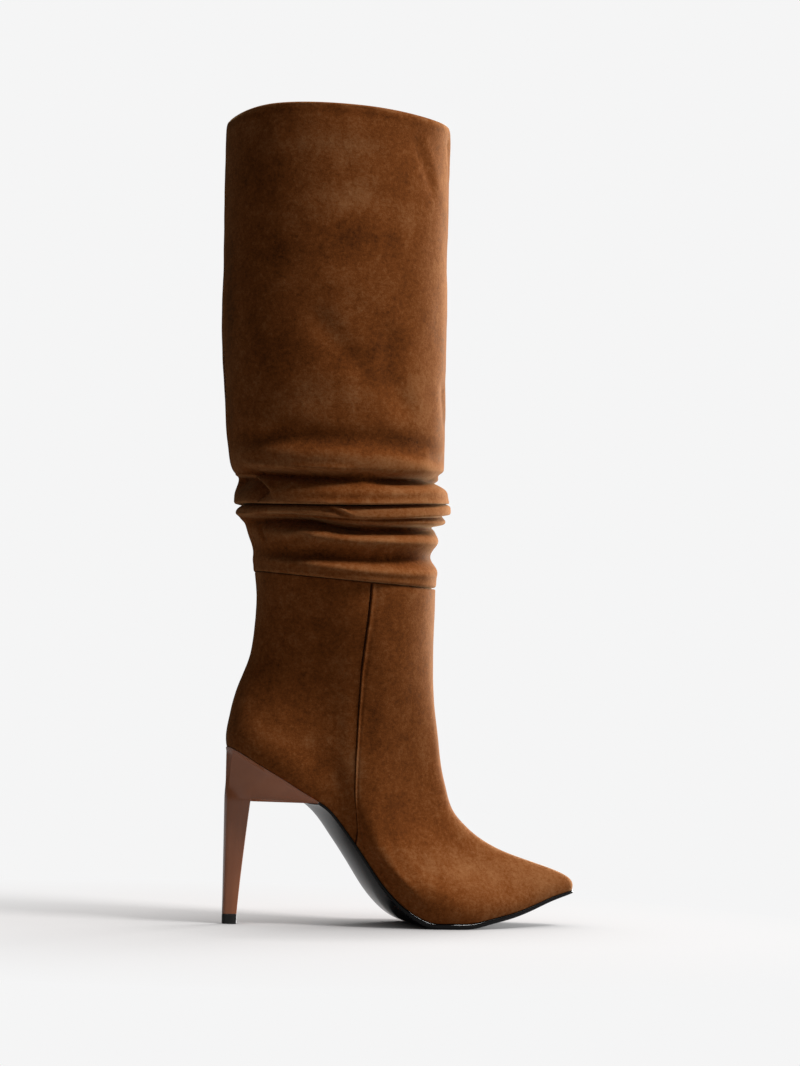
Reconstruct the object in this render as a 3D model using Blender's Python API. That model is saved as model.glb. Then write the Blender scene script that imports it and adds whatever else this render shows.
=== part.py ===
"""Right-foot knee-high slouch boot with a pointed toe and a stiletto heel.

Units are metres. +X points to the toe, +Y to the inner side of the foot, +Z up.
The origin is the middle of the heel tip's underside, on the floor.
Each table holds shares of the named sizes, one row for a section or a fold.
"""

from collections import namedtuple
from math import cos, pi, radians, sin, sqrt

import bmesh
import bpy
from mathutils import Vector

# Foot sizes
FOOT_LENGTH = 0.2233        # feather line, heel back to toe tip
BALL_WIDTH = 0.0730         # feather line at the widest place
HEEL_RISE = 0.1075          # floor to the feather line at the heel back
SEAT_OVERHANG = 0.00415     # feather line's back point behind the origin

# Leg sizes
ANKLE_HEIGHT = 0.2120       # floor to the seam where the leg joins the upper
ANKLE_DROP = 0.0065         # the ankle seam's fall from back to front
ANKLE_WIDTH = 0.0940        # outside, across the ankle seam
LEG_LENGTH = 0.2800         # ankle seam to rim
CALF_DEPTH = 0.1420         # outside, back to front at the calf
CALF_WIDTH = 0.1150         # outside, across the calf
LEG_AXIS = 0.0556           # the leg's middle, ahead of the origin
FOLD_DEPTH = 0.0100         # unit of the folds' in and out shares

# Walls and clearances
UPPER_WALL = 0.0015
LEG_WALL = 0.0013
SEAM_STEP = 0.0006          # front piece laps over the back piece at the side seam
GAP = 0.0003
LAP = 0.0055                # the leg's lower edge runs this far down inside the upper

# Sole sizes
SOLE_THICKNESS = 0.0033     # at the ball
SOLE_MARGIN = 0.0006        # sole edge outside the feather line
SOLE_CHAMFER = 0.0009
INSOLE_THICKNESS = 0.0022
INSOLE_SETBACK = 0.0120     # the insole stops this far behind the toe tip

# Heel sizes
TIP_LENGTH = 0.0083
TIP_WIDTH = 0.0078
TIP_HEIGHT = 0.0060
BREAST_HEIGHT = 0.0764      # the heel's flat underside above the floor, at the pin
BREAST_FALL = 0.0014        # and its fall from there to the breast
PIN_TOP_LENGTH = 0.0146     # the pin, back to front, under the flat underside
PIN_TOP_WIDTH = 0.0140
BREAST_EDGE = 0.0010        # the heel's least thickness at its front edge
HEEL_MARGIN = 0.0005        # the heel's seat outside the feather line

# One row for each place along the feather line, heel back to toe tip.
# along: share of FOOT_LENGTH. middle and half: shares of half BALL_WIDTH, the middle
# positive to the inner side. rise: share of HEEL_RISE. tilt: slope across, rising to the inner side.
# thick and sag: shares of SOLE_THICKNESS, at the edge and added in the middle.
Station = namedtuple("Station", "along middle half rise tilt thick sag")
STATIONS = [
    Station(*row)
    for row in (
        (0.0000, 0.000, 0.000, 1.000, 0.00, 0.48, 0.00),
        (0.0045, 0.000, 0.170, 0.994, 0.00, 0.48, 0.00),
        (0.0170, 0.000, 0.334, 0.977, 0.00, 0.48, 0.00),
        (0.0381, 0.000, 0.466, 0.949, 0.00, 0.48, 0.00),
        (0.0649, 0.000, 0.564, 0.912, 0.00, 0.48, 0.00),
        (0.0985, 0.000, 0.630, 0.870, 0.00, 0.48, 0.00),
        (0.1388, 0.000, 0.663, 0.822, 0.00, 0.48, 0.00),
        (0.1880, 0.000, 0.658, 0.760, 0.00, 0.48, 0.00),
        (0.2350, 0.005, 0.620, 0.706, 0.00, 0.48, 0.05),
        (0.2700, 0.008, 0.595, 0.653, -0.03, 0.56, 0.20),
        (0.2960, 0.011, 0.580, 0.592, -0.05, 0.62, 0.32),
        (0.3135, 0.008, 0.575, 0.544, -0.065, 0.64, 0.40),
        (0.3292, 0.005, 0.575, 0.500, -0.07, 0.66, 0.45),
        (0.3330, 0.004, 0.577, 0.489, -0.07, 0.67, 0.46),
        (0.3695, -0.014, 0.608, 0.380, -0.065, 0.71, 0.48),
        (0.4075, -0.022, 0.671, 0.265, -0.05, 0.77, 0.40),
        (0.4523, -0.027, 0.773, 0.157, -0.025, 0.85, 0.25),
        (0.5016, -0.022, 0.890, 0.078, -0.01, 0.94, 0.10),
        (0.5486, -0.005, 0.959, 0.0335, 0.00, 1.00, 0.00),
        (0.6023, 0.016, 1.000, 0.0335, 0.00, 1.00, 0.00),
        (0.6583, 0.038, 0.992, 0.0335, 0.00, 1.00, 0.00),
        (0.7255, 0.060, 0.893, 0.060, 0.00, 0.92, 0.15),
        (0.7971, 0.082, 0.714, 0.090, 0.00, 0.83, 0.50),
        (0.8688, 0.099, 0.505, 0.134, 0.00, 0.73, 0.70),
        (0.9315, 0.110, 0.330, 0.178, 0.00, 0.62, 0.55),
        (0.9718, 0.115, 0.214, 0.199, 0.00, 0.54, 0.20),
        (0.9924, 0.118, 0.126, 0.209, 0.00, 0.50, 0.05),
        (1.0000, 0.118, 0.000, 0.212, 0.00, 0.48, 0.00),
    )
]
BREAST = 8                  # the station where the heel ends and the sole begins
SEAM = 12                   # the station where the side seam meets the feather line
TOE = len(STATIONS) - 1
TOE_RISE = 0.212            # the toe's share of HEEL_RISE
FLAT_FIRST, FLAT_LAST = 18, 20

# One row for each ring of the upper, feather line to ankle seam.
# back_x, front_x: shares of FOOT_LENGTH. back_z, front_z: shares of the height between
# feather line and ankle seam. rise: how far the ring's sides have risen. outline: how much
# it still follows the feather line's outline. spread: growth of that outline. side: half
# width of the round part, as a share of half ANKLE_WIDTH.
Ring = namedtuple("Ring", "name back_x back_z front_x front_z rise outline spread side")
UPPER_RINGS = [
    Ring(*row)
    for row in (
        ("feather", 0.0000, 0.000, 1.0000, 0.000, 0.000, 1.00, 1.00, 0.63),
        ("welt", -0.0022, 0.043, 0.9930, 0.034, 0.028, 1.00, 1.05, 0.63),
        ("toe box", -0.0009, 0.100, 0.9404, 0.066, 0.066, 0.95, 1.10, 0.64),
        ("toe ridge", 0.0045, 0.162, 0.8598, 0.098, 0.110, 0.84, 1.12, 0.66),
        ("vamp", 0.0103, 0.224, 0.7837, 0.130, 0.160, 0.66, 1.10, 0.67),
        ("low instep", 0.0184, 0.291, 0.7210, 0.170, 0.215, 0.48, 1.07, 0.68),
        ("instep", 0.0278, 0.353, 0.6762, 0.214, 0.275, 0.32, 1.04, 0.68),
        ("high instep", 0.0430, 0.434, 0.6404, 0.264, 0.340, 0.18, 1.00, 0.68),
        ("heel curve", 0.0564, 0.515, 0.6216, 0.325, 0.415, 0.08, 1.00, 0.69),
        ("throat", 0.0636, 0.596, 0.6065, 0.391, 0.500, 0.02, 1.00, 0.71),
        ("low ankle", 0.0681, 0.687, 0.5945, 0.475, 0.600, 0.00, 1.00, 0.76),
        ("ankle", 0.0708, 0.795, 0.5815, 0.578, 0.720, 0.00, 1.00, 0.84),
        ("high ankle", 0.0708, 0.895, 0.5700, 0.720, 0.855, 0.00, 1.00, 0.93),
        ("top edge", 0.0663, 1.000, 0.5690, 1.000, 1.000, 0.00, 1.00, 1.00),
    )
]

# The leg's plain form. up: share of LEG_LENGTH. back, front: shares of CALF_DEPTH from the
# axis. side: share of half CALF_WIDTH.
Form = namedtuple("Form", "up back front side")
LEG_FORMS = [
    Form(*row)
    for row in (
        (0.000, 0.320, 0.473, 0.830),
        (0.030, 0.330, 0.478, 0.850),
        (0.100, 0.362, 0.494, 0.870),
        (0.193, 0.411, 0.501, 0.900),
        (0.260, 0.441, 0.494, 0.915),
        (0.332, 0.462, 0.495, 0.930),
        (0.421, 0.480, 0.495, 0.950),
        (0.507, 0.490, 0.494, 0.965),
        (0.600, 0.497, 0.494, 0.980),
        (0.730, 0.496, 0.488, 0.990),
        (0.900, 0.499, 0.489, 1.000),
        (1.000, 0.496, 0.484, 1.000),
    )
]

# One row for each ring of the leg, rim to ankle seam, at five places around the outer half:
# back, back quarter, side, front quarter and front. up: shares of LEG_LENGTH above the
# ankle seam. out: shares of FOLD_DEPTH outside the plain form. Below SEAM_REACH the rings
# take on the seam's fall.
Fold = namedtuple("Fold", "name up out")
FOLDS = [
    Fold("rim", (0.981, 1.006, 1.011, 1.002, 1.003), (0.0, 0.0, 0.0, 0.0, 0.0)),
    Fold("collar", (0.925, 0.935, 0.940, 0.935, 0.935), (0.0, 0.0, 0.0, -0.1, 0.0)),
    Fold("calf", (0.810, 0.820, 0.820, 0.810, 0.815), (0.0, 0.05, -0.05, 0.05, 0.0)),
    Fold("low calf", (0.660, 0.660, 0.655, 0.660, 0.660), (0.0, -0.05, 0.05, 0.0, 0.0)),
    Fold("shin", (0.520, 0.520, 0.515, 0.515, 0.520), (0.0, 0.05, 0.0, -0.05, 0.0)),
    Fold("low shin", (0.400, 0.398, 0.395, 0.398, 0.400), (0.0, 0.0, 0.05, 0.0, 0.0)),
    Fold("over the folds", (0.304, 0.300, 0.296, 0.300, 0.307), (0.0, 0.05, 0.08, 0.05, 0.05)),
    Fold("brow", (0.250, 0.246, 0.243, 0.248, 0.257), (0.0, 0.05, 0.10, 0.05, 0.0)),
    Fold("top crease", (0.209, 0.205, 0.204, 0.214, 0.227), (-0.27, -0.15, -0.12, -0.18, -0.30)),
    Fold("roll 1 crown", (0.182, 0.179, 0.177, 0.193, 0.207), (0.22, 0.12, 0.10, 0.18, 0.25)),
    Fold("roll 1 lip", (0.161, 0.157, 0.157, 0.168, 0.179), (0.38, 0.22, 0.20, 0.28, 0.30)),
    Fold("tuck 1", (0.152, 0.149, 0.149, 0.161, 0.172), (-0.47, -0.28, -0.22, -0.05, 0.20)),
    Fold("roll 2 crown", (0.138, 0.137, 0.137, 0.148, 0.163), (0.32, 0.15, 0.12, 0.25, 0.48)),
    Fold("roll 2 lip", (0.121, 0.120, 0.120, 0.134, 0.152), (0.37, 0.22, 0.22, 0.32, 0.45)),
    Fold("front crease", (0.116, 0.115, 0.115, 0.126, 0.142), (0.25, 0.10, 0.10, 0.05, -0.08)),
    Fold("small roll", (0.111, 0.110, 0.110, 0.118, 0.130), (0.10, -0.10, -0.10, 0.12, 0.12)),
    Fold("tuck 2", (0.104, 0.104, 0.104, 0.109, 0.118), (0.00, -0.30, -0.40, -0.50, -0.60)),
    Fold("roll 3 crown", (0.089, 0.084, 0.082, 0.088, 0.103), (-0.14, 0.02, 0.10, 0.00, -0.25)),
    Fold("roll 3 lip", (0.068, 0.057, 0.054, 0.059, 0.073), (-0.26, 0.05, 0.12, 0.05, -0.22)),
    Fold("tuck 3", (0.050, 0.041, 0.038, 0.043, 0.056), (-0.20, -0.22, -0.28, -0.35, -0.42)),
    Fold("roll 4 crown", (0.036, 0.029, 0.025, 0.028, 0.039), (-0.12, 0.08, 0.14, 0.10, -0.08)),
    Fold("roll 4 lip", (0.015, 0.013, 0.011, 0.012, 0.015), (-0.04, 0.08, 0.14, 0.12, 0.00)),
]
SEAM_REACH = 0.06
INNER_SIDE_CALM = 0.8       # the folds' depth on the inner side of the leg
INNER_SIDE_LIFT = 0.004     # and their lift, as a share of LEG_LENGTH

# The heel's half outline, back to front corner: place along and share of the half width.
Corner = namedtuple("Corner", "along half")
PIN_CORNERS = [
    Corner(*row)
    for row in (
        (0.00, 0.00), (0.04, 0.42), (0.14, 0.72), (0.30, 0.93), (0.48, 1.00),
        (0.66, 1.00), (0.82, 0.96), (0.94, 0.86), (1.00, 0.68),
    )
]
# One row for each section of the pin: up as a share of BREAST_HEIGHT, its length and width
# as shares of the way from the tip's size to the size under the breast, and its back's
# distance behind the tip's back as a share of TIP_LENGTH.
Pin = namedtuple("Pin", "up grow back")
PIN_SECTIONS = [
    Pin(*row)
    for row in (
        (0.25, 0.16, 0.005), (0.50, 0.38, 0.010), (0.75, 0.65, 0.020), (0.92, 0.86, 0.030),
        (0.98, 0.96, 0.035),
    )
]
UNDERSIDE_HALF = (0.00, 0.16, 0.27, 0.34, 0.38, 0.46, 0.60, 0.78, 0.96)
FLARE_STEPS = (0.22, 0.45, 0.72, 1.00)
FLARE_POWER = 1.7

# Linear colour, roughness and metallic value of each material
FINISHES = {
    "brown_suede": ((0.105, 0.040, 0.014, 1.0), 0.92, 0.0),
    "lining_leather": ((0.235, 0.120, 0.055, 1.0), 0.70, 0.0),
    "brown_gloss": ((0.085, 0.026, 0.012, 1.0), 0.16, 0.0),
    "black_gloss": ((0.010, 0.008, 0.008, 1.0), 0.12, 0.0),
    "black_rubber": ((0.014, 0.013, 0.012, 1.0), 0.55, 0.0),
}


def clear_scene():
    for item in list(bpy.data.objects):
        bpy.data.objects.remove(item, do_unlink=True)


def finish(name):
    colour, roughness, metallic = FINISHES[name]
    material = bpy.data.materials.get(name) or bpy.data.materials.new(name)
    material.use_nodes = True
    shader = material.node_tree.nodes["Principled BSDF"]
    shader.inputs["Base Color"].default_value = colour
    shader.inputs["Roughness"].default_value = roughness
    shader.inputs["Metallic"].default_value = metallic
    material.diffuse_color = colour
    return material


def add_object(name, points, faces, material):
    """Makes one named mesh object with its faces turned outward."""
    bm = bmesh.new()
    corners = [bm.verts.new(point) for point in points]
    for face in faces:
        bm.faces.new([corners[index] for index in face])
    bmesh.ops.triangulate(bm, faces=bm.faces[:], quad_method="SHORT_EDGE")
    bmesh.ops.recalc_face_normals(bm, faces=bm.faces[:])
    mesh = bpy.data.meshes.new(name)
    bm.to_mesh(mesh)
    bm.free()
    mesh.materials.append(finish(material))
    item = bpy.data.objects.new(name, mesh)
    bpy.context.scene.collection.objects.link(item)
    return item


def both_sides(count):
    """Column numbers around a ring: (station, side), outer side first, then the inner side."""
    outer = [(number, -1) for number in range(count)]
    inner = [(number, 1) for number in range(count - 2, 0, -1)]
    return outer + inner


def bands(rings, closed=True):
    """Quads between each ring of point numbers and the next."""
    faces = []
    for first, second in zip(rings, rings[1:]):
        count = len(first)
        for number in range(count if closed else count - 1):
            after = (number + 1) % count
            faces.append((first[number], first[after], second[after], second[number]))
    return faces


def cap(points, ring, columns, sags):
    """Closes a ring in strips straight across, with a line of points down the middle."""
    place = {column: index for index, column in enumerate(columns)}
    rows = []
    for step, number in enumerate(sorted({number for number, _ in columns})):
        left = ring[place[(number, -1)]]
        right = ring[place.get((number, 1), place[(number, -1)])]
        if left == right:
            rows.append((left, left, left))
        elif (number, 0) in place:
            rows.append((left, ring[place[(number, 0)]], right))
        else:
            middle = (points[left] + points[right]) / 2
            middle.z -= sags[step]
            rows.append((left, len(points), right))
            points.append(middle)
    faces = []
    for (left, middle, right), (left_after, middle_after, right_after) in zip(rows, rows[1:]):
        for edge, edge_after in ((left, left_after), (right, right_after)):
            faces += [(edge, edge_after, middle_after), (edge, middle_after, middle)]
    return [face for face in faces if len(set(face)) == 3]


def stack(name, columns, levels, material, sags=None):
    """A solid of level-by-level rings, closed at both ends. Sags lower the last cap's middle."""
    count = len(columns)
    points = [point for level in levels for point in level]
    rings = [list(range(row * count, (row + 1) * count)) for row in range(len(levels))]
    plain = [0.0] * count
    faces = bands(rings)
    faces += cap(points, rings[0], columns, plain)
    faces += cap(points, rings[-1], columns, sags or plain)
    return add_object(name, points, faces, material)


def seat_columns():
    """Columns around the heel, back point first, with one in the middle of the breast."""
    columns = [(number, -1) for number in range(BREAST + 1)]
    return columns + [(BREAST, 0)] + [(number, 1) for number in range(BREAST, 0, -1)]


def blend(first, second, share):
    return first + (second - first) * share


def along_x(share):
    return share * FOOT_LENGTH - SEAT_OVERHANG


def around_station(x):
    """The stations before and after a place, and the share of the way between them."""
    along = (x + SEAT_OVERHANG) / FOOT_LENGTH
    low, high = STATIONS[0], STATIONS[1]
    for low, high in zip(STATIONS, STATIONS[1:]):
        if along <= high.along:
            break
    return low, high, min(max((along - low.along) / (high.along - low.along), 0.0), 1.0)


def feather_z(x, y, drop=0.0):
    """Height of the surface that upper, sole and insole share, moved down square to it."""
    low, high, share = around_station(x)
    run = (high.along - low.along) * FOOT_LENGTH
    slope = (high.rise - low.rise) * HEEL_RISE / run
    level = blend(low.rise, high.rise, share) * HEEL_RISE + blend(low.tilt, high.tilt, share) * y
    return level - drop * sqrt(1 + slope * slope)


def feather_point(number, side, inset=0.0, drop=0.0):
    """A point of the feather line, moved in by inset and down by drop."""
    station = STATIONS[number]
    half = station.half * BALL_WIDTH / 2
    middle = station.middle * BALL_WIDTH / 2
    x = along_x(station.along)
    before = STATIONS[max(number - 1, 0)]
    after = STATIONS[min(number + 1, TOE)]
    run = (after.along - before.along) * FOOT_LENGTH
    widen = (after.half - before.half) * BALL_WIDTH / 2
    if number in (0, TOE):
        x += inset if number == 0 else -inset
        return Vector((x, middle, feather_z(x, middle, drop)))
    length = sqrt(run * run + widen * widen)
    x += inset * widen / length
    half = max(half - inset * run / length, 0.0004)
    y = middle + side * half
    return Vector((x, y, feather_z(x, y, drop)))


def turn(number):
    """The column's angle from the back, with the seam column at the side."""
    if number <= SEAM:
        return pi / 2 * number / SEAM
    return pi / 2 + radians(0.8) + (pi / 2 - radians(0.8)) * (number - SEAM - 1) / (TOE - SEAM - 1)


def oval(number):
    """Shares (from back to front, half width) of a column on an oval."""
    angle = turn(number)
    return (1 - cos(angle)) / 2, sin(angle)


def ankle_z(share):
    return ANKLE_HEIGHT + ANKLE_DROP * (0.5 - share)


def upper_ends(ring):
    """Back and front points of one ring of the upper."""
    low_back, low_front = HEEL_RISE, TOE_RISE * HEEL_RISE
    back = Vector((along_x(ring.back_x), 0, blend(low_back, ankle_z(0), ring.back_z)))
    front_y = STATIONS[TOE].middle * BALL_WIDTH / 2 * max(0.0, (ring.front_x - 0.58) / 0.42)
    front = Vector((along_x(ring.front_x), front_y, blend(low_front, ankle_z(1), ring.front_z)))
    return back, front


def upper_point(ring, number, side):
    """A point of the upper's outer face, before the seam's step."""
    share, width = oval(number)
    low = feather_point(number, side)
    low_back, low_front = (upper_ends(UPPER_RINGS[0])[end] for end in (0, 1))
    high_back, high_front = (upper_ends(UPPER_RINGS[-1])[end] for end in (0, 1))
    back, front = upper_ends(ring)
    high = high_back.lerp(high_front, share)
    off_back = back - low_back.lerp(high_back, ring.rise)
    off_front = front - low_front.lerp(high_front, ring.rise)
    point = low.lerp(high, ring.rise) + off_back * (1 - share) ** 2 + off_front * share ** 3
    spread = low.y * ring.spread if number not in (0, TOE) else low.y
    round_part = side * width * ring.side * ANKLE_WIDTH / 2
    middle = front.y * share ** 3
    point.y = blend(middle + round_part, spread, ring.outline)
    if number == TOE:
        point.y = front.y
    return point


def upper_grid():
    columns = both_sides(TOE + 1)
    return [[upper_point(ring, *column) for column in columns] for ring in UPPER_RINGS]


def outward(grid, row, column, level_ends=True):
    """Unit vector out of a grid of rings, level at the first and the last ring."""
    count = len(grid[row])
    across = grid[row][(column + 1) % count] - grid[row][column - 1]
    along = grid[min(row + 1, len(grid) - 1)][column] - grid[max(row - 1, 0)][column]
    if level_ends and row in (0, len(grid) - 1):
        across.z = 0
        along = Vector((0, 0, 1))
    normal = across.cross(along).normalized()
    return normal


def wall_between(outer, wall):
    """The inner rings that lie one wall's thickness inside the outer ones."""
    sign = 1.0
    test = outward(outer, len(outer) // 2, 0)
    if test.x > 0:
        sign = -1.0
    inner = []
    for row, ring in enumerate(outer):
        inner.append([
            point - sign * wall * outward(outer, row, column)
            for column, point in enumerate(ring)
        ])
    return inner, sign


def shell(name, outer, inner, material):
    """A hollow piece between two grids of rings, open at both ends."""
    count = len(outer[0])
    rings = list(outer) + list(reversed(inner))
    points = [point for ring in rings for point in ring]
    numbers = [list(range(row * count, (row + 1) * count)) for row in range(len(rings))]
    return add_object(name, points, bands(numbers + [numbers[0]]), material)


def make_upper():
    base = upper_grid()
    inner, sign = wall_between(base, UPPER_WALL)
    for column, (number, side) in enumerate(both_sides(TOE + 1)):
        if number not in (0, TOE):
            low = feather_point(number, side, UPPER_WALL)
            inner[0][column] = low
        else:
            inner[0][column] = feather_point(number, side, UPPER_WALL)
    inner[-1] = [Vector((p.x, p.y, q.z)) for p, q in zip(inner[-1], base[-1])]
    outer = []
    for row, ring in enumerate(base):
        step = SEAM_STEP if row > 0 else 0.0
        outer.append([
            point + sign * (step if columns_front(column) else 0.0) * outward(base, row, column)
            for column, point in enumerate(ring)
        ])
    shell("upper", outer, inner, "brown_suede")
    return base, inner


def columns_front(column):
    """True for the columns in front of the side seam."""
    number, _ = both_sides(TOE + 1)[column]
    return number > SEAM


def around(values, share):
    """Smooth value at a share of the way from back to front, from five places."""
    padded = [values[1], *values, values[3]]
    place = share * 4
    step = min(int(place), 3)
    t = place - step
    a, b, c, d = padded[step:step + 4]
    return 0.5 * (2 * b + (c - a) * t + (2 * a - 5 * b + 4 * c - d) * t * t
                  + (3 * b - a - 3 * c + d) * t * t * t)


def leg_form(up):
    """The plain form's back, front and side at a share of the leg's length."""
    for low, high in zip(LEG_FORMS, LEG_FORMS[1:]):
        if up <= high.up:
            share = max(0.0, (up - low.up) / (high.up - low.up))
            return (blend(low.back, high.back, share), blend(low.front, high.front, share),
                    blend(low.side, high.side, share))
    return LEG_FORMS[-1].back, LEG_FORMS[-1].front, LEG_FORMS[-1].side


def leg_point(fold, number, side):
    """A point of the leg's outer face."""
    angle = turn(number)
    place = angle / pi
    inner_side = side > 0 and number not in (0, TOE)
    calm = blend(1.0, INNER_SIDE_CALM, sin(angle)) if inner_side else 1.0
    lift = INNER_SIDE_LIFT * sin(angle) ** 2 if inner_side and fold.name != "rim" else 0.0
    up = around(fold.up, place) + lift
    out = around(fold.out, place) * FOLD_DEPTH * calm
    back, front, half = leg_form(up)
    share, width = oval(number)
    x_back = LEG_AXIS - back * CALF_DEPTH - out
    x_front = LEG_AXIS + front * CALF_DEPTH + out
    y = side * width * (half * CALF_WIDTH / 2 + out)
    fall = ANKLE_DROP * (0.5 - share) * max(0.0, 1 - up / SEAM_REACH)
    z = ANKLE_HEIGHT + fall + up * LEG_LENGTH
    return Vector((blend(x_back, x_front, share), y, z))


def make_shaft(upper_inner):
    columns = both_sides(TOE + 1)
    rings = [[leg_point(fold, *column) for column in columns] for fold in reversed(FOLDS)]
    top, below = upper_inner[-1], upper_inner[-2]
    lip, foot = [], []
    for column in range(len(columns)):
        fall = (top[column] - below[column]).length
        down = top[column].lerp(below[column], min(LAP / fall, 0.9))
        inward = Vector((LEG_AXIS, 0, 0)) - Vector((top[column].x, top[column].y, 0))
        inward = inward.normalized() * (GAP * 1.5)
        lip.append(top[column] + inward + Vector((0, 0, GAP)))
        foot.append(down + inward)
    outer = [foot, lip] + rings
    inner, _ = wall_between(outer, LEG_WALL)
    inner[0] = [Vector((p.x, p.y, q.z)) for p, q in zip(inner[0], outer[0])]
    inner[-1] = [Vector((p.x, p.y, q.z)) for p, q in zip(inner[-1], outer[-1])]
    shell("shaft", outer, inner, "brown_suede")


def make_outsole():
    """The thin sole from the heel's breast to the toe, flat under the ball."""
    numbers = list(range(BREAST, TOE + 1))
    edge = [(number, -1) for number in numbers]
    edge += [(number, 1) for number in reversed(numbers[:-1])] + [(BREAST, 0)]
    levels = []
    for margin, depth in ((0.0, 0.0), (SOLE_MARGIN, 0.25), (SOLE_MARGIN, 0.75), (-SOLE_CHAMFER, 1.0)):
        level = []
        for number, side in edge:
            station = STATIONS[number]
            thick = station.thick * SOLE_THICKNESS - GAP
            flat = FLAT_FIRST <= number <= FLAT_LAST
            point = feather_point(number, side, -margin, GAP)
            if number == BREAST:
                point.x += GAP * 2
                point.z = feather_z(point.x, point.y, GAP)
            point.z -= thick * depth
            if flat and depth == 1.0:
                point.z = 0.0
            level.append(point)
        levels.append(level)
    sags = [STATIONS[number].sag * SOLE_THICKNESS for number in numbers]
    stack("outsole", edge, levels, "black_gloss", sags)


def make_insole():
    """The board that lies inside the upper, on the sole and the heel's seat."""
    last = TOE
    while along_x(STATIONS[last].along) > along_x(1.0) - INSOLE_SETBACK:
        last -= 1
    inset = UPPER_WALL + GAP * 2
    columns = [(number, -1) for number in range(last + 1)]
    columns += [(last, 0)] + [(number, 1) for number in range(last, 0, -1)]
    levels = []
    for extra, lift in ((0.0, 0.0), (0.0, 0.7 * INSOLE_THICKNESS), (0.0008, INSOLE_THICKNESS)):
        levels.append([
            feather_point(number, side, inset + extra, -lift - GAP * 1.5)
            for number, side in columns
        ])
    stack("insole", columns, levels, "lining_leather")


def make_heel():
    """The stiletto: a thin pin with an angular block that carries the seat."""
    columns = seat_columns()
    tip_back = -TIP_LENGTH / 2
    levels = [pin_level(columns, TIP_HEIGHT + GAP, 0.0, tip_back)]
    for pin in PIN_SECTIONS:
        back = tip_back - pin.back * TIP_LENGTH
        levels.append(pin_level(columns, pin.up * BREAST_HEIGHT, pin.grow, back))
    seat = [feather_point(number, side, -HEEL_MARGIN, GAP) for number, side in columns]
    under = []
    for (number, side), top in zip(columns, seat):
        share = STATIONS[number].along / STATIONS[BREAST].along
        x = blend(tip_back - 0.04 * TIP_LENGTH, along_x(STATIONS[BREAST].along), share)
        y = side * UNDERSIDE_HALF[number] * STATIONS[BREAST].half * BALL_WIDTH / 2
        z = min(BREAST_HEIGHT - BREAST_FALL * share, top.z - BREAST_EDGE)
        under.append(Vector((x, y, z)))
    levels.append(under)
    for share in FLARE_STEPS:
        level = []
        for low, high in zip(under, seat):
            point = low.lerp(high, share)
            point.y = blend(low.y, high.y, share ** FLARE_POWER)
            level.append(point)
        levels.append(level)
    stack("heel", columns, levels, "brown_gloss")


def pin_level(columns, z, grow, back):
    """One level section of the pin."""
    length = blend(TIP_LENGTH, PIN_TOP_LENGTH, grow)
    half = blend(TIP_WIDTH, PIN_TOP_WIDTH, grow) / 2
    level = []
    for number, side in columns:
        corner = PIN_CORNERS[number]
        level.append(Vector((back + corner.along * length, side * corner.half * half, z)))
    return level


def make_heel_tip():
    """The small rubber top piece that stands on the floor."""
    columns = seat_columns()
    levels = [pin_level(columns, z, 0.0, -TIP_LENGTH / 2) for z in (0.0, TIP_HEIGHT)]
    stack("heel_tip", columns, levels, "black_rubber")


def main():
    clear_scene()
    _, upper_inner = make_upper()
    make_shaft(upper_inner)
    make_insole()
    make_outsole()
    make_heel()
    make_heel_tip()


main()
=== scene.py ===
"""Looks of the right-foot knee-high slouch boot: suede leg and upper, lacquered heel, glossy sole.

Units are metres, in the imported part's frame: +X to the toe, +Y to the inner side, +Z up.
Tables hold shares of the boot's own sizes, one row for a section or a fold.
"""

from __future__ import annotations

import logging
import math
from dataclasses import dataclass
from enum import Enum
from typing import NamedTuple, Sequence

import bmesh
import bpy
import numpy as np
from mathutils import Matrix, Vector, noise

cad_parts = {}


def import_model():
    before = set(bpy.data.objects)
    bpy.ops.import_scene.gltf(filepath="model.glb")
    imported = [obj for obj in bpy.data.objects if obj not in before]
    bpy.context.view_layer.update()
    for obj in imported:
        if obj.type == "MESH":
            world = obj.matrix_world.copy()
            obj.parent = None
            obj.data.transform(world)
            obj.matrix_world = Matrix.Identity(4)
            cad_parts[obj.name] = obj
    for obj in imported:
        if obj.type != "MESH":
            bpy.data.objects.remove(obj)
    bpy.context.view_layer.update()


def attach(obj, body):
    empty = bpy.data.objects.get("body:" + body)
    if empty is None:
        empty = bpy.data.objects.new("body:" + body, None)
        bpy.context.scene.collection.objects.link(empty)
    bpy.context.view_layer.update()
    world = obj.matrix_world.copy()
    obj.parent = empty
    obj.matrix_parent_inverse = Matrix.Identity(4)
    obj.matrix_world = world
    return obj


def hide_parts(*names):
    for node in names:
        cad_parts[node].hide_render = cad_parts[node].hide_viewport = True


LOG = logging.getLogger("boot")
PAPER = (0.913, 0.913, 0.915, 1.0)
Array = np.ndarray
Colour = tuple[float, float, float]
Point = tuple[float, float, float]


class Side(Enum):
    """Side of the foot, as the sign of Y."""

    OUTER = -1
    INNER = 1


class Slot(Enum):
    """The record's material slots."""

    SUEDE = "suede"
    LINING = "lining"
    SOLE = "sole"
    HEEL = "heel"
    TIP = "heel_tip"


class Station(NamedTuple):
    """One place along the feather line, in shares of the foot's sizes."""

    along: float
    middle: float
    half: float
    rise: float
    tilt: float
    thick: float
    sag: float


class Ring(NamedTuple):
    """One ring of the upper, feather line to ankle seam."""

    back_x: float
    back_z: float
    front_x: float
    front_z: float
    rise: float
    outline: float
    spread: float
    side: float


class Form(NamedTuple):
    """One section of the leg's plain form."""

    up: float
    back: float
    front: float
    side: float


class Fold(NamedTuple):
    """One ring of the leg at back, back quarter, side, front quarter and front."""

    name: str
    up: tuple[float, ...]
    out: tuple[float, ...]


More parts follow.
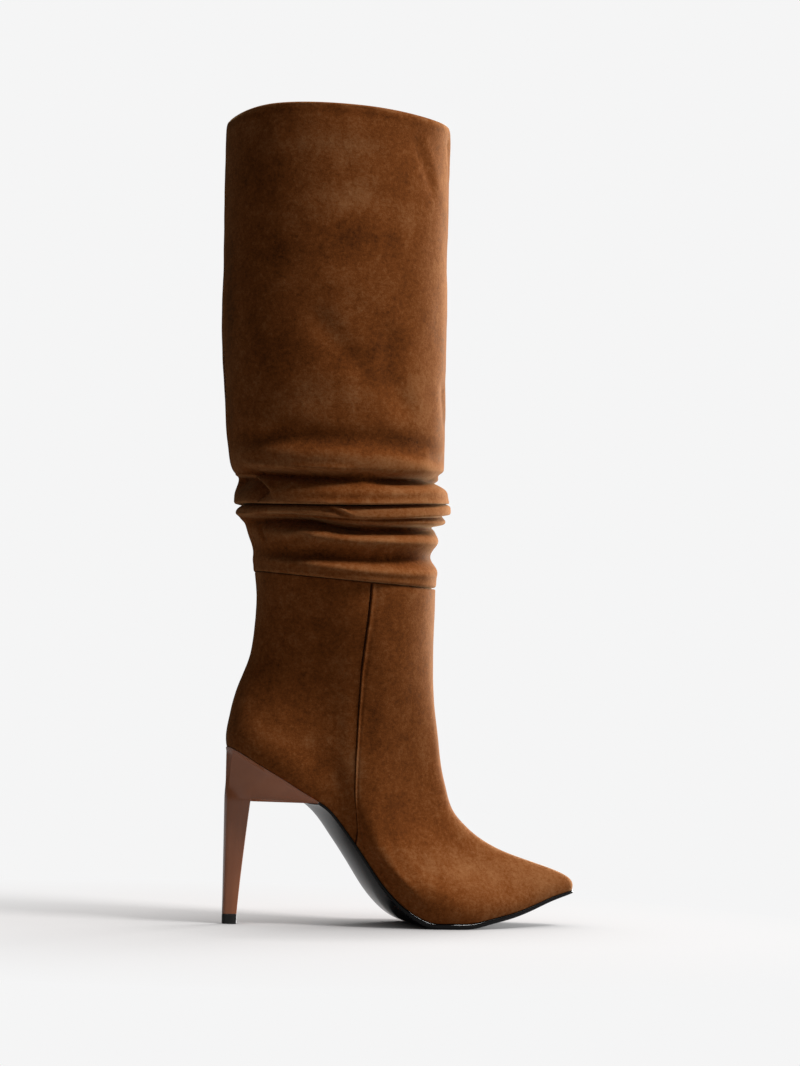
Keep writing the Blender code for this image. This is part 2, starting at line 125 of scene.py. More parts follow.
STATIONS = [Station(*row) for row in (
    (0, 0, 0, 1, 0, 0.48, 0),
    (0.0045, 0, 0.17, 0.994, 0, 0.48, 0),
    (0.017, 0, 0.334, 0.977, 0, 0.48, 0),
    (0.0381, 0, 0.466, 0.949, 0, 0.48, 0),
    (0.0649, 0, 0.564, 0.912, 0, 0.48, 0),
    (0.0985, 0, 0.63, 0.87, 0, 0.48, 0),
    (0.1388, 0, 0.663, 0.822, 0, 0.48, 0),
    (0.188, 0, 0.658, 0.76, 0, 0.48, 0),
    (0.235, 0.005, 0.62, 0.706, 0, 0.48, 0.05),
    (0.27, 0.008, 0.595, 0.653, -0.03, 0.56, 0.2),
    (0.296, 0.011, 0.58, 0.592, -0.05, 0.62, 0.32),
    (0.3135, 0.008, 0.575, 0.544, -0.065, 0.64, 0.4),
    (0.3292, 0.005, 0.575, 0.5, -0.07, 0.66, 0.45),
    (0.3695, -0.014, 0.608, 0.38, -0.065, 0.71, 0.48),
    (0.4075, -0.022, 0.671, 0.265, -0.05, 0.77, 0.4),
    (0.4523, -0.027, 0.773, 0.157, -0.025, 0.85, 0.25),
    (0.5016, -0.022, 0.89, 0.078, -0.01, 0.94, 0.1),
    (0.5486, -0.005, 0.959, 0.038, 0, 1, 0),
    (0.6023, 0.016, 1, 0.0335, 0, 1, 0),
    (0.6583, 0.038, 0.992, 0.035, 0, 1, 0),
    (0.7255, 0.06, 0.893, 0.06, 0, 0.92, 0.15),
    (0.7971, 0.082, 0.714, 0.09, 0, 0.83, 0.5),
    (0.8688, 0.099, 0.505, 0.134, 0, 0.73, 0.7),
    (0.9315, 0.11, 0.33, 0.178, 0, 0.62, 0.55),
    (0.9718, 0.115, 0.214, 0.199, 0, 0.54, 0.2),
    (0.9924, 0.118, 0.126, 0.209, 0, 0.5, 0.05),
    (1, 0.118, 0, 0.212, 0, 0.48, 0),
)]
BREAST = 8
SEAM = 12
TOE = len(STATIONS) - 1

RINGS = [Ring(*row) for row in (
    (0, 0, 1, 0, 0, 1, 1, 0.63),
    (-0.0022, 0.043, 0.993, 0.034, 0.028, 1, 1.05, 0.63),
    (-0.0009, 0.1, 0.9404, 0.066, 0.066, 0.95, 1.1, 0.64),
    (0.0045, 0.162, 0.8598, 0.098, 0.11, 0.84, 1.12, 0.66),
    (0.0103, 0.224, 0.7837, 0.13, 0.16, 0.66, 1.1, 0.67),
    (0.0184, 0.291, 0.721, 0.17, 0.215, 0.48, 1.07, 0.68),
    (0.0278, 0.353, 0.6762, 0.214, 0.275, 0.32, 1.04, 0.68),
    (0.043, 0.434, 0.6404, 0.264, 0.34, 0.18, 1, 0.68),
    (0.0564, 0.515, 0.6216, 0.325, 0.415, 0.08, 1, 0.69),
    (0.0636, 0.596, 0.6065, 0.391, 0.5, 0.02, 1, 0.71),
    (0.0681, 0.687, 0.5945, 0.475, 0.6, 0, 1, 0.76),
    (0.0708, 0.795, 0.5815, 0.578, 0.72, 0, 1, 0.84),
    (0.0708, 0.895, 0.57, 0.72, 0.855, 0, 1, 0.93),
    (0.0663, 1, 0.569, 1, 1, 0, 1, 1),
)]

FORMS = [Form(*row) for row in (
    (-0.03, 0.32, 0.473, 0.83),
    (0, 0.32, 0.473, 0.83),
    (0.03, 0.33, 0.478, 0.85),
    (0.1, 0.362, 0.494, 0.87),
    (0.193, 0.411, 0.501, 0.9),
    (0.26, 0.441, 0.494, 0.915),
    (0.332, 0.462, 0.495, 0.93),
    (0.421, 0.48, 0.495, 0.95),
    (0.507, 0.49, 0.494, 0.965),
    (0.6, 0.497, 0.494, 0.98),
    (0.73, 0.496, 0.488, 0.99),
    (0.9, 0.499, 0.489, 1),
    (1.03, 0.496, 0.484, 1),
)]

FOLDS = [
    Fold("rim", (0.9985, 1.013, 1.011, 1.002, 1.001), (-0.16, 0, 0, 0, -0.06)),
    Fold("under rim", (0.983, 0.993, 0.992, 0.986, 0.985), (0.02, 0, 0, 0, 0)),
    Fold("collar", (0.925, 0.938, 0.94, 0.935, 0.935), (0, 0.02, 0, -0.1, 0)),
    Fold("calf", (0.81, 0.82, 0.82, 0.81, 0.815), (0, 0.06, -0.06, 0.05, 0)),
    Fold("low calf", (0.66, 0.66, 0.655, 0.66, 0.66), (0, -0.06, 0.06, 0, 0)),
    Fold("shin", (0.52, 0.52, 0.515, 0.515, 0.52), (0, 0.06, 0, -0.06, 0)),
    Fold("low shin", (0.4, 0.398, 0.395, 0.398, 0.4), (0, 0, 0.05, 0, 0)),
    Fold("over the folds", (0.304, 0.3, 0.296, 0.3, 0.307), (0, 0.08, 0.12, 0.1, 0.05)),
    Fold("brow", (0.25, 0.246, 0.243, 0.248, 0.257), (0.02, 0.14, 0.2, 0.16, 0.04)),
    Fold("under brow", (0.226, 0.226, 0.225, 0.231, 0.241), (-0.1, -0.02, 0.1, 0, -0.12)),
    Fold("top crease", (0.209, 0.214, 0.2125, 0.2185, 0.227), (-0.28, -0.32, -0.22, -0.42, -0.42)),
    Fold("roll 1 crown", (0.186, 0.186, 0.185, 0.198, 0.209), (0.08, 0.1, 0.14, 0.22, 0.24)),
    Fold("roll 1 belly", (0.17, 0.167, 0.168, 0.181, 0.19), (0.3, 0.24, 0.24, 0.3, 0.3)),
    Fold("roll 1 lip", (0.159, 0.1555, 0.157, 0.168, 0.1765), (0.36, 0.3, 0.32, 0.36, 0.32)),
    Fold("under roll 1", (0.1562, 0.1523, 0.1538, 0.1648, 0.1738), (0.1, 0.06, 0.08, 0.14, 0.22)),
    Fold("tuck 1", (0.157, 0.153, 0.1545, 0.1655, 0.1742), (-0.42, -0.5, -0.5, -0.36, 0.04)),
    Fold("roll 2 top", (0.1515, 0.149, 0.1495, 0.1605, 0.17), (-0.05, -0.06, -0.06, 0.06, 0.34)),
    Fold("roll 2 crown", (0.141, 0.142, 0.14, 0.152, 0.163), (0.33, 0.22, 0.2, 0.28, 0.46)),
    Fold("roll 2 lip", (0.1325, 0.135, 0.127, 0.14, 0.1535), (0.36, 0.28, 0.26, 0.36, 0.46)),
    Fold("under roll 2", (0.129, 0.1322, 0.1235, 0.1362, 0.1492), (0.3, 0.06, 0.12, 0.2, 0.3)),
    Fold("front tuck", (0.1265, 0.1312, 0.1218, 0.134, 0.1468), (0.26, -0.2, 0.02, 0, -0.06)),
    Fold("small roll", (0.1235, 0.13, 0.119, 0.129, 0.1375), (0.22, -0.34, 0.04, 0.12, 0.14)),
    Fold("small lip", (0.1205, 0.1288, 0.115, 0.1215, 0.1285), (0.16, -0.4, -0.02, 0.14, 0.14)),
    Fold("under small roll", (0.118, 0.1276, 0.1118, 0.1172, 0.1238), (0.1, -0.44, -0.3, -0.2, -0.22)),
    Fold("tuck 2", (0.115, 0.1262, 0.1085, 0.1135, 0.12), (0.03, -0.46, -0.6, -0.62, -0.6)),
    Fold("roll 3 shoulder", (0.108, 0.118, 0.1, 0.105, 0.1135), (-0.04, -0.42, -0.62, -0.62, -0.42)),
    Fold("roll 3 crown", (0.092, 0.1, 0.086, 0.092, 0.101), (-0.13, 0.02, 0.02, -0.06, -0.24)),
    Fold("roll 3 belly", (0.075, 0.078, 0.07, 0.074, 0.083), (-0.23, 0.1, 0.2, 0.12, -0.2)),
    Fold("tuck 3", (0.054, 0.051, 0.046, 0.051, 0.057), (-0.21, -0.3, -0.46, -0.48, -0.46)),
    Fold("roll 4 crown", (0.036, 0.033, 0.027, 0.03, 0.039), (-0.12, 0.06, 0.16, 0.14, -0.06)),
    Fold("roll 4 belly", (0.022, 0.019, 0.015, 0.017, 0.022), (-0.08, 0.1, 0.2, 0.18, 0.02)),
    Fold("roll 4 lip", (0.0095, 0.008, 0.0065, 0.007, 0.0085), (-0.04, 0.08, 0.16, 0.14, 0.02)),
    Fold("under roll 4", (0.0045, 0.004, 0.0036, 0.0038, 0.0045), (-0.12, -0.1, -0.08, -0.08, -0.14)),
    Fold("seam", (0.0012, 0.001, 0.001, 0.001, 0.0012), (-0.26, -0.26, -0.26, -0.26, -0.26)),
    Fold("lap", (-0.014, -0.014, -0.014, -0.014, -0.014), (-0.26, -0.26, -0.26, -0.26, -0.26)),
]


def fold_row(name: str) -> int:
    """Place of a fold in the table."""
    return [fold.name for fold in FOLDS].index(name)


@dataclass(frozen=True)
class Sizes:
    """The boot's driving sizes, in metres."""

    foot_length: float = 0.2233
    ball_width: float = 0.0730
    heel_rise: float = 0.1075
    seat_overhang: float = 0.00415
    ankle_height: float = 0.2120
    ankle_drop: float = 0.0065
    ankle_width: float = 0.0940
    leg_length: float = 0.2800
    calf_depth: float = 0.1420
    calf_width: float = 0.1150
    leg_axis: float = 0.0556
    fold_depth: float = 0.0100
    seam_reach: float = 0.06
    upper_wall: float = 0.0015
    leg_wall: float = 0.0013
    sole_thickness: float = 0.0033
    gap: float = 0.0003


SIZES = Sizes()


class Spline:
    """Natural cubic curve through rows of values."""

    def __init__(self, knots: Sequence[float], values: Sequence[Sequence[float]]) -> None:
        """Solves the curve's second derivatives.

        Args:
            knots: rising places of the rows.
            values: one row of values for each knot.
        """
        self.knots = np.asarray(knots, float)
        self.values = np.asarray(values, float)
        step = np.diff(self.knots)
        system = np.eye(len(self.knots))
        right = np.zeros_like(self.values)
        for row in range(1, len(self.knots) - 1):
            system[row, row - 1] = step[row - 1]
            system[row, row] = 2 * (step[row - 1] + step[row])
            system[row, row + 1] = step[row]
            rise = (self.values[row + 1] - self.values[row]) / step[row]
            fall = (self.values[row] - self.values[row - 1]) / step[row - 1]
            right[row] = 6 * (rise - fall)
        self.bend = np.linalg.solve(system, right)

    def __call__(self, at: Array) -> Array:
        """Values at the given places.

        Args:
            at: places, any number of them.

        Returns:
            One row of values for each place.
        """
        at = np.clip(np.asarray(at, float), self.knots[0], self.knots[-1])
        low = np.clip(np.searchsorted(self.knots, at, side="right") - 1, 0, len(self.knots) - 2)
        step = (self.knots[low + 1] - self.knots[low])[:, None]
        a = (self.knots[low + 1] - at)[:, None] / step
        b = 1 - a
        curved = ((a ** 3 - a) * self.bend[low] + (b ** 3 - b) * self.bend[low + 1]) * step ** 2 / 6
        return a * self.values[low] + b * self.values[low + 1] + curved


def station_turns() -> Array:
    """Angles round the boot of the feather line's stations.

    Returns:
        One angle for each station, back to toe.
    """
    seam_gap = math.radians(0.8)
    front = (math.pi / 2 - seam_gap) / (TOE - SEAM)
    turns = [math.pi / 2 * number / SEAM for number in range(SEAM + 1)]
    turns += [math.pi / 2 + seam_gap + front * number for number in range(1, TOE - SEAM + 1)]
    return np.array(turns)


TURNS = station_turns()


def mirrored_spline() -> Spline:
    """The feather line's stations as a curve that carries on round both ends.

    Returns:
        The curve, from angles to rows of station values.
    """
    before, after = ([[*STATIONS[number][:2], -STATIONS[number].half, *STATIONS[number][3:]]
                      for number in pair] for pair in ((2, 1), (-2, -3)))
    knots = [-TURNS[2], -TURNS[1], *TURNS, 2 * math.pi - TURNS[-2], 2 * math.pi - TURNS[-3]]
    return Spline(knots, before + [list(station) for station in STATIONS] + after)


STATION_CURVE = mirrored_spline()
RING_CURVE = Spline(range(len(RINGS)), RINGS)
FORM_CURVE = Spline([form.up for form in FORMS], [form[1:] for form in FORMS])
FOLD_CURVE = Spline(range(len(FOLDS)), [(*fold.up, *fold.out) for fold in FOLDS])
HEIGHT_CURVE = Spline([row.along for row in STATIONS], [(row.rise, row.tilt) for row in STATIONS])


def smooth(value: Array, low: float, high: float) -> Array:
    """Eases from 0 at low to 1 at high."""
    share = np.clip((value - low) / (high - low), 0.0, 1.0)
    return share * share * (3 - 2 * share)


def around(values: Array, place: Array) -> Array:
    """Smooth values round half the leg.

    Args:
        values: rows of five values, at back, back quarter, side, front quarter and front.
        place: shares of the way from back to front, one for each column.

    Returns:
        One row of values for each given row, one column for each place.
    """
    padded = np.concatenate([values[:, 1:2], values, values[:, 3:4]], axis=1)
    step = np.minimum((place * 4).astype(int), 3)
    t = place * 4 - step
    a, b, c, d = (padded[:, step + offset] for offset in range(4))
    return 0.5 * (2 * b + (c - a) * t + (2 * a - 5 * b + 4 * c - d) * t ** 2
                  + (3 * b - a - 3 * c + d) * t ** 3)


class Line(NamedTuple):
    """A soft line along a seam or rim: its height, its distance from it and its width."""

    height: float
    place: float
    width: float


def relief(lines: Sequence[Line], distance: Array) -> Array:
    """Sum of soft lines at each distance from their seam or rim."""
    return sum(line.height * np.exp(-((distance - line.place) / line.width) ** 2) for line in lines)


class Ripple(NamedTuple):
    """Slow unevenness of hand-worked leather: its height, waves to the metre and seed."""

    height: float
    scale: float
    seed: float

    def push(self, points: Array) -> Array:
        """How far each point moves outward.

        Args:
            points: one place in each row of the last axis.

        Returns:
            Distances in metres.
        """
        shift = Vector((self.seed, self.seed * 1.7, self.seed * 0.3))
        flat = points.reshape(-1, 3) * self.scale
        values = [noise.noise(Vector(point) + shift) for point in flat]
        return self.height * np.array(values).reshape(points.shape[:-1])


@dataclass(frozen=True)
class Crease:
    """A soft trough or ridge along a line on the leather.

    Points are (share from back to front, height in metres). A positive depth goes in. The lip
    is a ridge beside the trough, as a share of the depth, above it or, if negative, below it.
    With a shelf, the leather above the line laps over a hollow that fades out that far below.
    """

    side: Side
    points: tuple[tuple[float, float], ...]
    depth: float
    width: float
    lip: float = 0.0
    shelf: float = 0.0
    girth: float = 0.19
    taper: float = 0.22

    def nearest(self, place: Array, height: Array) -> tuple[Array, Array, Array]:
        """Where each point lies beside the line.

        Args:
            place: shares from back to front.
            height: heights in metres.

        Returns:
            Distance from the line, the same with a sign that is positive above it, and the
            share of the line's length at the nearest point of it.
        """
        best = np.full(height.shape, 1e9)
        signed = np.zeros(height.shape)
        along = np.zeros(height.shape)
        total = 0.0
        for first, second in zip(self.points, self.points[1:]):
            run = (second[0] - first[0]) * self.girth
            rise = second[1] - first[1]
            length = math.hypot(run, rise)
            x = (place - first[0]) * self.girth
            z = height - first[1]
            t = np.clip((x * run + z * rise) / length ** 2, 0, 1)
            apart = np.hypot(x - t * run, z - t * rise)
            nearer = apart < best
            best = np.where(nearer, apart, best)
            signed = np.where(nearer, (z * run - x * rise) / length, signed)
            along = np.where(nearer, total + t * length, along)
            total += length
        return best, signed, along / total

    def push(self, place: Array, height: Array, side: Array) -> Array:
        """How far each point moves outward.

        Args:
            place: shares from back to front.
            height: heights in metres.
            side: signs of Y.

        Returns:
            Distances in metres, positive outward.
        """
        round_end = np.where(place < 0.5, -place, 2 - place)
        place = np.where(side == self.side.value, place, round_end)
        best, signed, share = self.nearest(place, height)
        trough = -self.depth * np.exp(-(best / self.width) ** 2)
        if self.shelf:
            under = 1 - smooth(signed, -self.width, self.width)
            trough = -self.depth * under * np.exp(-(best / self.shelf) ** 2)
        beside = signed - math.copysign(1.6 * self.width, self.lip) if self.lip else best
        reach = np.exp(-np.clip(best - 3 * self.width, 0, None) ** 2 / self.width ** 2)
        ridge = abs(self.lip) * self.depth * np.exp(-(beside / (1.1 * self.width)) ** 2) * reach
        ends = smooth(share, 0.0, self.taper) * (1 - smooth(share, 1 - self.taper, 1.0))
        return (trough + ridge) * ends


@dataclass(frozen=True)
class Patch:
    """A place in the nap, lighter above zero and darker below; the tables hold nap marks together with
    painted light and painted shade.
    """

    side: Side
    place: float
    height: float
    reach_across: float
    reach_up: float
    value: float
    girth: float = 0.19

    def shade(self, place: Array, height: Array, side: Array) -> Array:
        """The patch's value at each point, nothing on the other side.

        Args:
            place: shares from back to front.
            height: heights in metres.
            side: signs of Y.

        Returns:
            A value for each point.
        """
        across = (place - self.place) * self.girth / self.reach_across
        up = (height - self.height) / self.reach_up
        return np.where(side == self.side.value, self.value * np.exp(-across ** 2 - up ** 2), 0)


def on_sides(kind: type, outer: Sequence[tuple], inner: Sequence[tuple]) -> tuple:
    """Rows of a table made into creases or patches, the outer side's and then the inner's."""
    sides = ((Side.OUTER, outer), (Side.INNER, inner))
    return tuple(kind(side, *row) for side, rows in sides for row in rows)


LEG_CREASES = on_sides(Crease, (
    (((-0.08, 0.2726), (0.13, 0.2712), (0.173, 0.267), (0.208, 0.2627), (0.218, 0.2545)), 0.0058,
     0.0007, 0.16, 0.01),
    (((0.08, 0.2755), (0.24, 0.2725), (0.34, 0.2712), (0.52, 0.2711)), 0.0036, 0.0024, 0.4),
    (((0.5, 0.2718), (0.69, 0.273), (0.84, 0.2741), (0.96, 0.2738), (1.12, 0.2728)), 0.005, 0.0012,
     0.25, 0.006),
    (((0.385, 0.2548), (0.43, 0.251), (0.47, 0.2466)), 0.002, 0.0008, 0.5, 0.004),
    (((-0.06, 0.2492), (0.07, 0.2472), (0.22, 0.2465), (0.33, 0.246), (0.45, 0.242), (0.56,
     0.2404)), 0.0034, 0.0009, 0.3, 0.005),
    (((0.22, 0.2312), (0.333, 0.2356)), 0.0012, 0.0022, 0.4),
    (((0.34, 0.2345), (0.57, 0.2328)), 0.0006, 0.0026),
    (((0.1, 0.2425), (0.13, 0.232)), 0.0012, 0.0022),
    (((0.67, 0.484), (0.72, 0.465), (0.765, 0.4444)), 0.0009, 0.004, 0.4),
    (((0.86, 0.488), (0.9, 0.474), (0.93, 0.456)), 0.001, 0.0032, 0.5),
    (((0.93, 0.425), (0.95, 0.4)), 0.0006, 0.004, 0.5),
    (((0, 0.2955), (0.35, 0.2945), (0.62, 0.2935), (0.9, 0.2905)), 0.002, 0.0065, -0.6),
    (((0.36, 0.376), (0.45, 0.35), (0.56, 0.33)), 0.0011, 0.007, 0.3),
    (((0.6, 0.37), (0.6, 0.335), (0.68, 0.305)), 0.0014, 0.007, 0.3),
    (((0.85, 0.335), (0.9, 0.305)), 0.001, 0.005, 0.4),
    (((0.6, 0.288), (0.76, 0.285), (0.93, 0.288)), 0.001, 0.0034, 0.3),
), (
    (((0.12, 0.273), (0.25, 0.2695), (0.4, 0.268)), 0.0026, 0.0016, 0.3, 0.005),
    (((0.55, 0.2715), (0.72, 0.272), (0.88, 0.2735)), 0.0024, 0.002, 0.4),
    (((0.3, 0.256), (0.38, 0.25)), 0.0018, 0.0009, 0.5, 0.004),
    (((0.48, 0.235), (0.66, 0.233), (0.8, 0.235)), 0.001, 0.0026, 0.3),
    (((0.15, 0.232), (0.33, 0.229)), 0.0008, 0.0026),
    (((0.1, 0.308), (0.4, 0.302), (0.75, 0.305)), 0.0011, 0.006, 0.4),
    (((0.35, 0.35), (0.6, 0.318)), 0.0012, 0.01, 0.3),
    (((0.7, 0.485), (0.8, 0.455)), 0.0009, 0.0045, 0.4),
))

UPPER_CREASES = on_sides(Crease, (
    (((0.62, 0.056), (0.7, 0.051)), 0.0006, 0.006),
    (((0.1, 0.135), (0.22, 0.125)), 0.0005, 0.008),
), (
    (((0.64, 0.058), (0.72, 0.052)), 0.0006, 0.006),
    (((0.1, 0.138), (0.24, 0.127)), 0.0005, 0.008),
))

# Leg patches: some are nap marks, the rest are painted light and painted shade for the soft undulations
# of the leather.
LEG_PATCHES = on_sides(Patch, (
    (0.465, 0.4386, 0.015, 0.008, 0.55),
    (0.39, 0.471, 0.03, 0.006, 0.35),
    (0.503, 0.4163, 0.018, 0.009, -0.5),
    (0.18, 0.454, 0.018, 0.016, -0.35),
    (0.64, 0.428, 0.014, 0.01, 0.35),
    (0.3, 0.4076, 0.024, 0.01, -0.3),
    (0.07, 0.38, 0.01, 0.04, -0.45),
    (0.3, 0.378, 0.03, 0.018, -0.16),
    (0.44, 0.362, 0.014, 0.01, 0.25),
    (0.5, 0.344, 0.014, 0.012, -0.35),
    (0.6, 0.344, 0.01, 0.022, -0.4),
    (0.4, 0.319, 0.02, 0.011, 0.4),
    (0.3, 0.344, 0.018, 0.016, -0.4),
    (0.7, 0.325, 0.012, 0.022, 0.55),
    (0.42, 0.2945, 0.06, 0.0055, -0.28),
    (0.7, 0.2945, 0.016, 0.0065, -0.45),
    (0.45, 0.281, 0.06, 0.004, 0.4),
), (
    (0.5, 0.45, 0.022, 0.014, 0.35),
    (0.35, 0.4, 0.026, 0.02, -0.3),
    (0.65, 0.35, 0.02, 0.02, 0.25),
))

# Upper patches: nap marks and rubbed places together with painted light and painted shade.
UPPER_PATCHES = on_sides(Patch, (
    (0.545, 0.1, 0.006, 0.022, 0.8),
    (0.58, 0.126, 0.008, 0.014, -0.35),
    (0.7, 0.065, 0.024, 0.016, -0.5),
    (0.27, 0.137, 0.026, 0.014, -0.32),
    (0.3, 0.175, 0.03, 0.012, -0.28),
    (0.8, 0.036, 0.016, 0.008, 0.4),
    (0.3, 0.112, 0.02, 0.006, 0.35),
    (0.18, 0.156, 0.014, 0.01, -0.35),
    (0.97, 0.03, 0.034, 0.026, 0.8),
), (
    (0.97, 0.03, 0.034, 0.026, 0.8),
    (0.55, 0.102, 0.008, 0.02, 0.5),
    (0.72, 0.07, 0.014, 0.01, -0.3),
))


def grid_faces(rows: int, columns: int) -> Array:
    """Quads of a grid whose columns close into a ring.

    Args:
        rows: number of rings.
        columns: number of points in each ring.

    Returns:
        Four vertex numbers for each face.
    """
    row, column = np.meshgrid(np.arange(rows - 1), np.arange(columns), indexing="ij")
    after = (column + 1) % columns
    quads = [row * columns + column, row * columns + after,
             (row + 1) * columns + after, (row + 1) * columns + column]
    return np.stack([quad.ravel() for quad in quads], axis=1)


def capped_faces(rows: int, count: int, last: int) -> list[list[int]]:
    """Faces of a ring grid whose two end rings are closed straight across.

    Args:
        rows: number of rings.
        count: number of points in each ring.
        last: number of the point where a ring's mirrored halves meet again.

    Returns:
        Vertex numbers of each face.
    """
    faces = grid_faces(rows, count).tolist()
    for base in (0, (rows - 1) * count):
        faces.append([base, base + 1, base + count - 1])
        for number in range(1, last):
            ring = [number, number + 1, count - number - 1, count - number]
            faces.append([base + place for place in dict.fromkeys(ring)])
    return faces


def in_scene(name: str, data: bpy.types.ID) -> bpy.types.Object:
    """Puts a mesh, light or camera in the scene.

    Args:
        name: the object's name.
        data: the mesh, light or camera.

    Returns:
        The new object.
    """
    thing = bpy.data.objects.new(name, data)
    bpy.context.scene.collection.objects.link(thing)
    return thing


def make_object(name: str, points: Array, faces: Array | list, material: bpy.types.Material,
                node: str | None = None) -> bpy.types.Object:
    """Makes one smooth mesh piece that rides on the boot.

    Args:
        name: the piece's name.
        points: one row for each vertex.
        faces: vertex numbers of each face.
        material: its finish.
        node: the CAD node that it stands for, if any.

    Returns:
        The new object.
    """
    mesh = bpy.data.meshes.new(name)
    mesh.from_pydata([tuple(point) for point in np.asarray(points).reshape(-1, 3)], [],
                     faces.tolist() if isinstance(faces, np.ndarray) else faces)
    mesh.polygons.foreach_set("use_smooth", [True] * len(mesh.polygons))
    mesh.materials.append(material)
    mesh.update()
    piece = in_scene(name, mesh)
    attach(piece, "root")
    if node:
        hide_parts(node)
    LOG.info("%s: %d faces", name, len(mesh.polygons))
    return piece


def tidy_faces(piece: bpy.types.Object) -> None:
    """Merges points that coincide and turns every face outward.

    Args:
        piece: the object whose mesh is cleaned.
    """
    mesh = bmesh.new()
    mesh.from_mesh(piece.data)
    bmesh.ops.remove_doubles(mesh, verts=mesh.verts[:], dist=1e-6)
    bmesh.ops.dissolve_degenerate(mesh, edges=mesh.edges[:], dist=1e-7)
    bmesh.ops.recalc_face_normals(mesh, faces=mesh.faces[:])
    mesh.to_mesh(piece.data)
    mesh.free()


def add_values(piece: bpy.types.Object, name: str, values: Array) -> None:
    """Stores one number for each vertex, for the materials to read."""
    layer = piece.data.attributes.new(name, "FLOAT", "POINT")
    layer.data.foreach_set("value", np.asarray(values, float).ravel())


def facing_out(grid: Array, way: Array) -> Array:
    """Unit vectors of a ring grid, all turned away from the middle of their ring.

    Args:
        grid: rows of rings.
        way: a vector of any length for each point.

    Returns:
        A unit vector for each point.
    """
    way = way / np.maximum(np.linalg.norm(way, axis=2, keepdims=True), 1e-12)
    facing = np.sum((grid - grid.mean(axis=1, keepdims=True)) * way, axis=2).mean()
    return way if facing > 0 else -way


def grid_normals(grid: Array) -> Array:
    """Outward unit vectors, square to the surface of a ring grid."""
    across = np.roll(grid, -1, axis=1) - np.roll(grid, 1, axis=1)
    return facing_out(grid, np.cross(across, np.gradient(grid, axis=0)))


def level_out(grid: Array) -> Array:
    """Level unit vectors that point out of each ring, square to the ring."""
    across = np.roll(grid, -1, axis=1) - np.roll(grid, 1, axis=1)
    return facing_out(grid, np.cross(across, (0.0, 0.0, 1.0)))


def crests(grid: Array, reach: float) -> Array:
    """How far each point of a ring grid stands out of its column's smoothed line.

    Args:
        grid: rows of rings.
        reach: length that the line is smoothed over, in metres.

    Returns:
        Distances in metres, positive on crests and negative in tucks.
    """
    samples = 700
    centre = grid.mean(axis=(0, 1))
    out = np.hypot(grid[:, :, 0] - centre[0], grid[:, :, 1] - centre[1])
    steps = np.linalg.norm(np.diff(grid, axis=0), axis=2)
    run = np.concatenate([np.zeros((1, grid.shape[1])), np.cumsum(steps, axis=0)])
    calm = np.empty_like(out)
    for column in range(grid.shape[1]):
        place = run[:, column]
        even = np.linspace(0, place[-1], samples)
        width = max(1, int(reach / (even[1] - even[0])))
        kernel = np.hanning(2 * width + 3)[1:-1]
        padded = np.pad(np.interp(even, place, out[:, column]), width, mode="edge")
        values = np.convolve(padded, kernel / kernel.sum(), mode="valid")[:samples]
        calm[:, column] = np.interp(place, even, values)
    return out - calm


def turned_edge(edge: Array, guide: Array, radius: float, turns: Sequence[float]) -> Array:
    """Rows that turn inward over an edge.

    Args:
        edge: the ring that the turn starts from.
        guide: the plain ring, whose middle the rows turn to.
        radius: radius of the turn.
        turns: degrees, one for each row.

    Returns:
        One ring for each turn.
    """
    inward = guide.mean(axis=0) - guide
    inward[:, 2] = 0
    inward /= np.linalg.norm(inward, axis=1, keepdims=True)
    rows = []
    for turn in map(math.radians, turns):
        row = edge + inward * radius * (1 - math.cos(turn))
        row[:, 2] += radius * math.sin(turn)
        rows.append(row)
    return np.array(rows)


def ankle_dip(angles: Array) -> Array:
    """How far the ankle seam sags round the boot, most at the sides."""
    return 0.0012 + 0.0008 * angles / math.pi + 0.0022 * np.sin(angles)


@dataclass(frozen=True)
class Columns:
    """Places round the boot: angles from back to toe on one side, then back on the other."""

    angles: Array
    sides: Array

    @classmethod
    def spread(cls, half: Array) -> "Columns":
        """Columns from one side's angles, back to toe, both ends included."""
        sides = np.concatenate([np.full(len(half), -1.0), np.full(len(half) - 2, 1.0)])
        return cls(np.concatenate([half, half[-2:0:-1]]), sides)

    def over(self, rows: int) -> tuple[Array, Array]:
        """Shares from back to front and signs of Y, for each point of that many rows."""
        shape = (rows, len(self.angles))
        return np.broadcast_to(self.angles / math.pi, shape), np.broadcast_to(self.sides, shape)


@dataclass
class FeatherLine:
    """The line where the upper meets the sole."""

    sizes: Sizes = SIZES
    small_turn: float = 1e-3

    def height(self, x: Array, y: Array) -> Array:
        """Height of the surface that upper and sole share.

        Args:
            x: distances from the back.
            y: distances from the middle line, in the same shape.

        Returns:
            A height for each point.
        """
        along = (x + self.sizes.seat_overhang) / self.sizes.foot_length
        rise, tilt = HEIGHT_CURVE(along.ravel()).T
        return rise.reshape(x.shape) * self.sizes.heel_rise + tilt.reshape(x.shape) * y

    def outline(self, angles: Array, sides: Array, inset: float = 0.0) -> tuple[Array, Array]:
        """The outline in plan, moved inward.

        Args:
            angles: places from back to toe.
            sides: signs of Y.
            inset: distance inward, negative outward.

        Returns:
            X and Y of each place.
        """
        plans = []
        for shift in (-self.small_turn, 0.0, self.small_turn):
            turned = angles + shift
            row = STATION_CURVE(np.abs(turned))
            half = np.where(turned < 0, -1.0, 1.0) * row[:, 2] * self.sizes.ball_width / 2
            x = row[:, 0] * self.sizes.foot_length - self.sizes.seat_overhang
            plans.append((x, row[:, 1] * self.sizes.ball_width / 2 + sides * half))
        run = plans[2][0] - plans[0][0]
        rise = plans[2][1] - plans[0][1]
        length = np.maximum(np.hypot(run, rise), 1e-12)
        return (plans[1][0] + inset * sides * rise / length,
                plans[1][1] - inset * sides * run / length)

    def ring(self, angles: Array, sides: Array, inset: float, lift: float) -> Array:
        """Points along the outline, moved inward and lifted off the shared surface."""
        x, y = self.outline(angles, sides, inset)
        return np.stack([x, y, self.height(x, y) + lift], axis=1)


FEATHER = FeatherLine()


